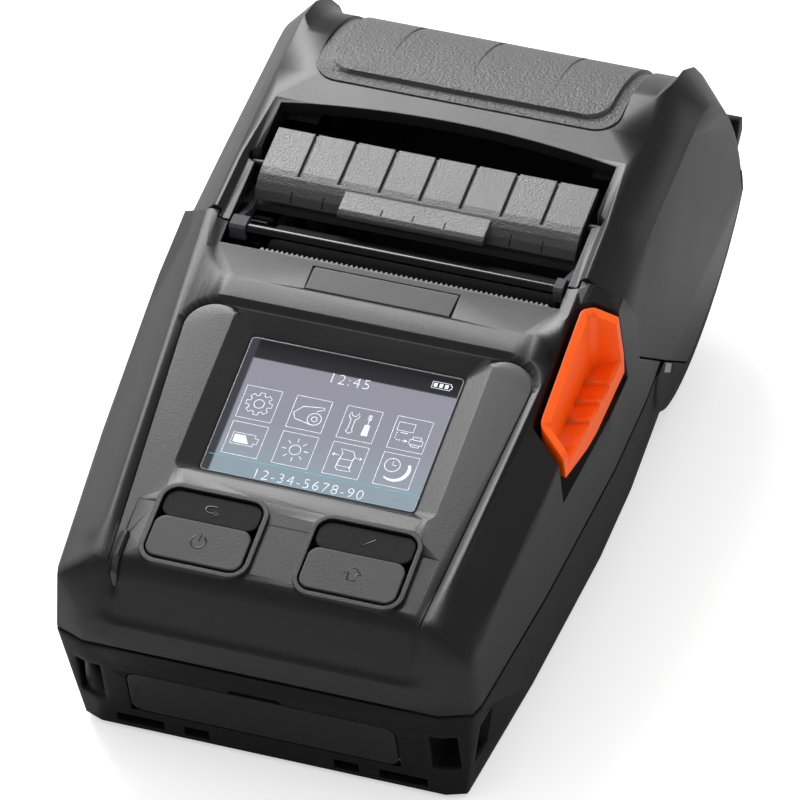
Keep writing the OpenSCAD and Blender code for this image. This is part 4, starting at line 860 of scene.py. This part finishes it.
@dataclass
class Casings:
    """Upper case, lower case, seal, bare plate, screws, the tabs under the lid's cheeks and the painted shade
    of the gaps beside them.

    Attributes:
        ledge: Ends of the ledge's sloped edge, as Y and Z in millimetres.
        wall: A point of the wall under it, as X and Z, and how X grows with Z.
        deep: Height of a tab in millimetres.
        sunk: How far a tab reaches into the wall.
        break_edge: Width of its broken edges.
    """

    ledge: tuple[Spot, Spot] = ((18.4, 27.0), (28.6, 17.9))
    wall: tuple[float, float, float] = (45.9, 25.3, 0.14)
    deep: float = 2.5
    sunk: float = 0.8
    break_edge: float = 0.05

    def build(self) -> None:
        """Make and dress the casings."""
        for side, name in ((-1, "left"), (1, "right")):
            self._strip(name + "_tab", side, (0.0, 0.58), 0.14, TAB)
            # A black sheet beside each tab paints the shade of the gap between the tab and the wall.
            self._strip(name + "_tab_gap_shade", side, (0.6, 1.0), 0.07, SEAL_AND_SHADE)
        Softened("upper_case", "case", "upper_shell", CASE_TOP).build()
        Softened("lower_case", "case", "lower_shell", CASE_LOW_SHADED).build()
        Softened("light_pipe", "case", "light", LIGHT_PIPE, 70.0).build()
        dress_nodes((("case_gasket", SEAL_AND_SHADE), ("nameplate", PLATE), ("case_screws", DARK_STEEL),
                     ("main_board", BOARD), ("board_screws", STEEL), ("buzzer", SOCKET)))

    def _strip(self, name: str, side: int, run: Spot, proud: float, finish: Finish) -> None:
        """Make one thin plate on the case's wall, along the sloped edge of the ledge.

        Args:
            name: Name of the piece.
            side: 1 on the right, -1 on the left.
            run: Where it starts and ends, as shares of the edge.
            proud: How far it stands out of the wall, in millimetres.
            finish: Its finish.
        """
        (y0, z0), (y1, z1) = self.ledge
        wall_x, wall_z, draft = self.wall
        start, end = run
        rings = []
        for out in (proud, -self.sunk):
            ring = []
            for share, drop in ((start, 0.0), (end, 0.0), (end, self.deep), (start, self.deep)):
                z = z0 + (z1 - z0) * share - drop
                x = wall_x + (z - wall_z) * draft + out
                ring.append(Vector((side * x, y0 + (y1 - y0) * share, z)) * MM)
            rings.append(ring)
        form = bmesh.new()
        loft(form, rings)
        bmesh.ops.bevel(form, geom=form.edges, offset=self.break_edge * MM, segments=2, affect="EDGES")
        plate = new_object(name, form)
        finish.dress(plate)
        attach(plate, "case")


class PortCover:
    """Rubber cover at the front and the sockets behind it."""

    def build(self) -> None:
        """Make and dress the cover and the sockets."""
        Softened("port_cover", "cover", "cover", COVER_RUBBER).build()
        dress_nodes((("port_cover_pin", STEEL), ("port_board", BOARD), ("usb_socket", STEEL),
                     ("power_socket", SOCKET)))


@dataclass
class Keypad:
    """Four keys with their symbols, the mat and the board under them.

    Attributes:
        panel: The slope that the keys lie in.
        size: Half the height of a symbol, in millimetres.
        across: Distance of the symbols from the middle, in millimetres.
        upper: Place of the upper symbols up the slope.
        lower: Place of the lower symbols up the slope.
        lift: Height of a symbol's middle over the key.
    """

    panel: Panel = Panel()
    size: float = 1.5
    across: float = 15.1
    upper: float = -54.4
    lower: float = -62.2
    lift: float = 0.01

    def build(self) -> None:
        """Make and dress the keys."""
        dress_nodes((("key_mat", SILICONE), ("key_board", BOARD)))
        back = Drawing("symbol_feed", pen=0.34)
        back.line((0.5, -0.45), (-0.4, -0.45), (-0.85, -0.2), (-0.85, 0.3), (-0.4, 0.55), (0.5, 0.55),
                  grow=self.size)
        back.fill((0.35, 0.05), (1.25, -0.45), (0.35, -0.95), grow=self.size)
        power = Drawing("symbol_power", pen=0.34)
        power.arc(self.size * 0.95, start=125, end=415, steps=24)
        power.line((0, 0.1), (0, 1.15), grow=self.size)
        tick = Drawing("symbol_enter", pen=0.36)
        tick.line((-1.0, 0.1), (-0.35, -0.6), (1.1, 0.65), grow=self.size)
        house = Drawing("symbol_home", pen=0.36)
        house.line((-0.5, -0.9), (-0.5, 0.05), (-1.1, 0.05), (0, 1.1), (1.1, 0.05), (0.5, 0.05), (0.5, -0.9),
                   grow=self.size, closed=True)
        for name, finish, art, x, along in (
            ("feed", KEY_UPPER_SHADED, back, -self.across, self.upper),
            ("power", KEY_LOWER, power, -self.across, self.lower),
            ("enter", KEY_UPPER_SHADED, tick, self.across, self.upper),
            ("home", KEY_LOWER, house, self.across, self.lower),
        ):
            Softened("key_" + name, name + "_key", "key", finish).build()
            top = self.panel.top_of("key_" + name, x, along)
            art.piece(self.panel.place(x, along, top + self.lift), ENGRAVING_SHADE, name + "_key", "key")


class Lever:
    """Release lever at the right shoulder, its shaft, hooks and spring."""

    def build(self) -> None:
        """Make and dress the lever and the latch."""
        Softened("release_lever", "lever", "lever", ORANGE).build()
        dress_nodes((("latch_shaft", STEEL), ("latch_hooks", DARK_STEEL), ("lever_spring", STEEL)))


@dataclass
class RollDoor:
    """Lid with its pad, platen, bushes, gear, bar and the peeler flap.

    Attributes:
        grips: Places across of the flap's short grip lines, in millimetres.
        tab_half: Lines nearer to the middle than this lie on the tab.
        tab_start: Front end of the lines on the tab, along Y.
        side_start: Front end of the lines beside it.
        pitch: Distance of a line's points along Y.
        count: Number of a line's points.
        section: Corners of a line's section, as X and Z from the flap's surface.
    """

    grips: tuple[float, ...] = (-25.0, -18.6, -6.3, 0.0, 6.4, 19.2, 25.6)
    tab_half: float = 12.0
    tab_start: float = 5.0
    side_start: float = 5.95
    pitch: float = 0.5
    count: int = 4
    section: tuple[Spot, ...] = ((-0.14, 0.03), (0.14, 0.03), (0.14, -0.2), (-0.14, -0.2))

    def build(self) -> None:
        """Make and dress the lid and what it carries."""
        Softened("lid_shell", "lid", "lid_shell", LID_FINISH).build()
        Softened("lid_pad", "lid", "pad", PAD_FINISH).build()
        Softened("peeler_flap", "flap", "flap", FLAP_FINISH, 7.0).build()
        self._grip_lines()
        dress_nodes((("hinge_pin", STEEL), ("lid_spring", STEEL), ("platen_bracket", INNER_SHADED),
                     ("bracket_screws", DARK_STEEL), ("latch_pins", DARK_STEEL), ("peel_bar", POLISHED),
                     ("platen_bushes", ACETAL), ("platen_shaft", DARK_STEEL), ("platen_roller", ROLLER),
                     ("platen_gear", ACETAL), ("flap_pins", DARK_STEEL)))

    def _grip_lines(self) -> None:
        """Make the short grip grooves at the flap's front edge, on its tab and beside it, as black bars that
        paint the grooves' shade.
        """
        top = surface_of("peeler_flap")
        form = bmesh.new()
        for x in self.grips:
            start = self.tab_start if abs(x) < self.tab_half else self.side_start
            rings = []
            for step in range(self.count):
                over = Vector((x, start + self.pitch * step, ABOVE)) * MM
                spot = top.ray_cast(over, Vector((0, 0, -1)))[0]
                rings.append([spot + Vector((wide, 0, rise)) * MM for wide, rise in self.section])
            loft(form, rings)
        lines = new_object("flap_grip_groove_shade", form)
        SEAL_AND_SHADE.dress(lines)
        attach(lines, "flap")


class PrintUnit:
    """Frame, head, motor, gears, tear bar, paper guides and roll bucket."""

    def build(self) -> None:
        """Dress the print unit."""
        dress_nodes((("print_frame", SHEET), ("frame_screws", DARK_STEEL), ("tear_bar", CUT_STEEL),
                     ("heat_sink", ANODISED), ("thermal_head", CERAMIC), ("head_pin", STEEL),
                     ("head_springs", STEEL), ("motor", SHEET), ("motor_pinion", BRASS),
                     ("idler_gear", ACETAL), ("idler_axle", DARK_STEEL), ("paper_bucket", INNER_SHADED),
                     ("bucket_screws", DARK_STEEL), ("guide_left", INNER_SHADED), ("guide_right", INNER_SHADED),
                     ("paper_sensor", SOCKET)))


class PowerPack:
    """Battery, its contacts and its latch."""

    def build(self) -> None:
        """Dress the battery."""
        dress_nodes((("battery_pack", BATTERY), ("battery_contacts", GOLD), ("battery_latch", BATTERY)))


@dataclass(frozen=True)
class Lamp:
    """One soft lamp.

    Attributes:
        name: Its name.
        place: Its place in metres.
        size: Its two widths in metres.
        power: Its power in watts.
    """

    name: str
    place: tuple[float, float, float]
    size: Spot
    power: float

    def hang(self, aim: Vector) -> None:
        """Hang the lamp so that it points at the object.

        Args:
            aim: The point that it lights, in metres.
        """
        data = bpy.data.lights.new(self.name, "AREA")
        data.shape = "RECTANGLE"
        data.size, data.size_y = self.size
        data.energy = self.power
        lamp = bpy.data.objects.new(self.name, data)
        lamp.location = self.place
        lamp.rotation_euler = (aim - Vector(self.place)).to_track_quat("-Z", "Y").to_euler()
        bpy.context.scene.collection.objects.link(lamp)


@dataclass
class Studio:
    """Camera, floor, lights and world.

    Attributes:
        aim: Point that the camera looks at, in metres.
        azimuth: Turn of the view about Z, in degrees.
        elevation: Height of the view above the horizon, in degrees.
        roll: Turn of the picture, in degrees.
        distance: From the camera to the aim, in metres.
        lens: Focal length on the sensor, in millimetres.
        sensor: Width of the sensor.
        seen: Nearest and farthest distance that the camera shows, in metres.
        room: Light of the room on the object.
        sheen: Light of the room as a gloss shows it.
        paper: Lightness of the floor.
        paper_sheen: Lightness of the floor as a gloss shows it.
        paper_glow: Light that the floor adds to the picture, so that it looks white.
        floor_half: Half the width of the floor, in metres.
        floor_drop: How far the floor lies under the object.
        lamps: The soft lamps: a box behind, a low wall at the left and a wash from above.
    """

    aim: Vector = field(default_factory=lambda: Vector((0.00044, -0.00658, 0.02692)))
    azimuth: float = 20.6045
    elevation: float = 41.7236
    roll: float = 2.507
    distance: float = 1.45813
    lens: float = 340.811
    sensor: float = 36.0
    seen: Spot = (0.05, 20.0)
    room: float = 0.85
    sheen: float = 0.19
    paper: float = 0.8
    paper_sheen: float = 0.44
    paper_glow: float = 0.46
    floor_half: float = 6.0
    floor_drop: float = 0.0003
    lamps: tuple[Lamp, ...] = (
        Lamp("rear_softbox", (-0.44, 0.50, 0.66), (0.50, 0.44), 8.4),
        Lamp("low_wall", (-0.95, 0.80, 0.28), (1.2, 0.55), 3.4),
        Lamp("overhead_wash", (-0.24, 0.30, 0.52), (0.30, 0.22), 1.2))

    def build(self) -> None:
        """Make the camera, floor, lamps and world."""
        self._camera()
        self._floor()
        for lamp in self.lamps:
            lamp.hang(self.aim)
        self._world()
        bpy.context.scene.view_settings.view_transform = "Standard"

    def _camera(self) -> None:
        """Place the camera of the photograph."""
        turn, rise = math.radians(self.azimuth), math.radians(self.elevation)
        back = Vector((math.sin(turn) * math.cos(rise), -math.cos(turn) * math.cos(rise), math.sin(rise)))
        data = bpy.data.cameras.new("photo_camera")
        data.lens, data.sensor_width = self.lens, self.sensor
        data.clip_start, data.clip_end = self.seen
        camera = bpy.data.objects.new("photo_camera", data)
        look = (-back).to_track_quat("-Z", "Y").to_matrix().to_4x4()
        spin = Matrix.Rotation(math.radians(-self.roll), 4, "Z")
        camera.matrix_world = Matrix.Translation(self.aim + back * self.distance) @ look @ spin
        bpy.context.scene.collection.objects.link(camera)
        bpy.context.scene.camera = camera

    def _floor(self) -> None:
        """Lay the pale floor; it looks white to the camera and keeps the shadow."""
        form = bmesh.new()
        bmesh.ops.create_grid(form, x_segments=1, y_segments=1, size=self.floor_half)
        floor = new_object("floor", form)
        floor.location.z = -self.floor_drop
        paint = bpy.data.materials.new("floor_paper")
        tree = Tree.of(paint)
        shader = tree.nodes["Principled BSDF"]
        tree.feed(shader, {"Roughness": 0.9, "Base Color": tree.by_gloss(self.paper, self.paper_sheen)})
        seen = tree.add("Math", {0: tree.shown(), 1: self.paper_glow}, operation="MULTIPLY")
        glow = tree.add("Emission", {"Strength": seen.outputs["Value"]})
        both = tree.add("AddShader", {0: shader.outputs["BSDF"], 1: glow.outputs["Emission"]})
        tree.feed(tree.nodes["Material Output"], {"Surface": both.outputs["Shader"]})
        floor.data.materials.append(paint)

    def _world(self) -> None:
        """Light the room evenly, and show white to the camera."""
        world = bpy.data.worlds.new("studio")
        bpy.context.scene.world = world
        tree = Tree.of(world)
        level = tree.remap(tree.shown(), tree.by_gloss(self.room, self.sheen), 1.0)
        tree.feed(tree.nodes["Background"], {"Color": (1, 1, 1, 1), "Strength": level})


def main() -> None:
    """Build the studio, the casings and the working parts in order."""
    logging.basicConfig(level=logging.INFO, format="%(name)s: %(message)s")
    for section in (Studio(), Casings(), PortCover(), Display(), Keypad(), Lever(), RollDoor(), PrintUnit(),
                    PowerPack()):
        section.build()


if __name__ == "__main__":
    main()
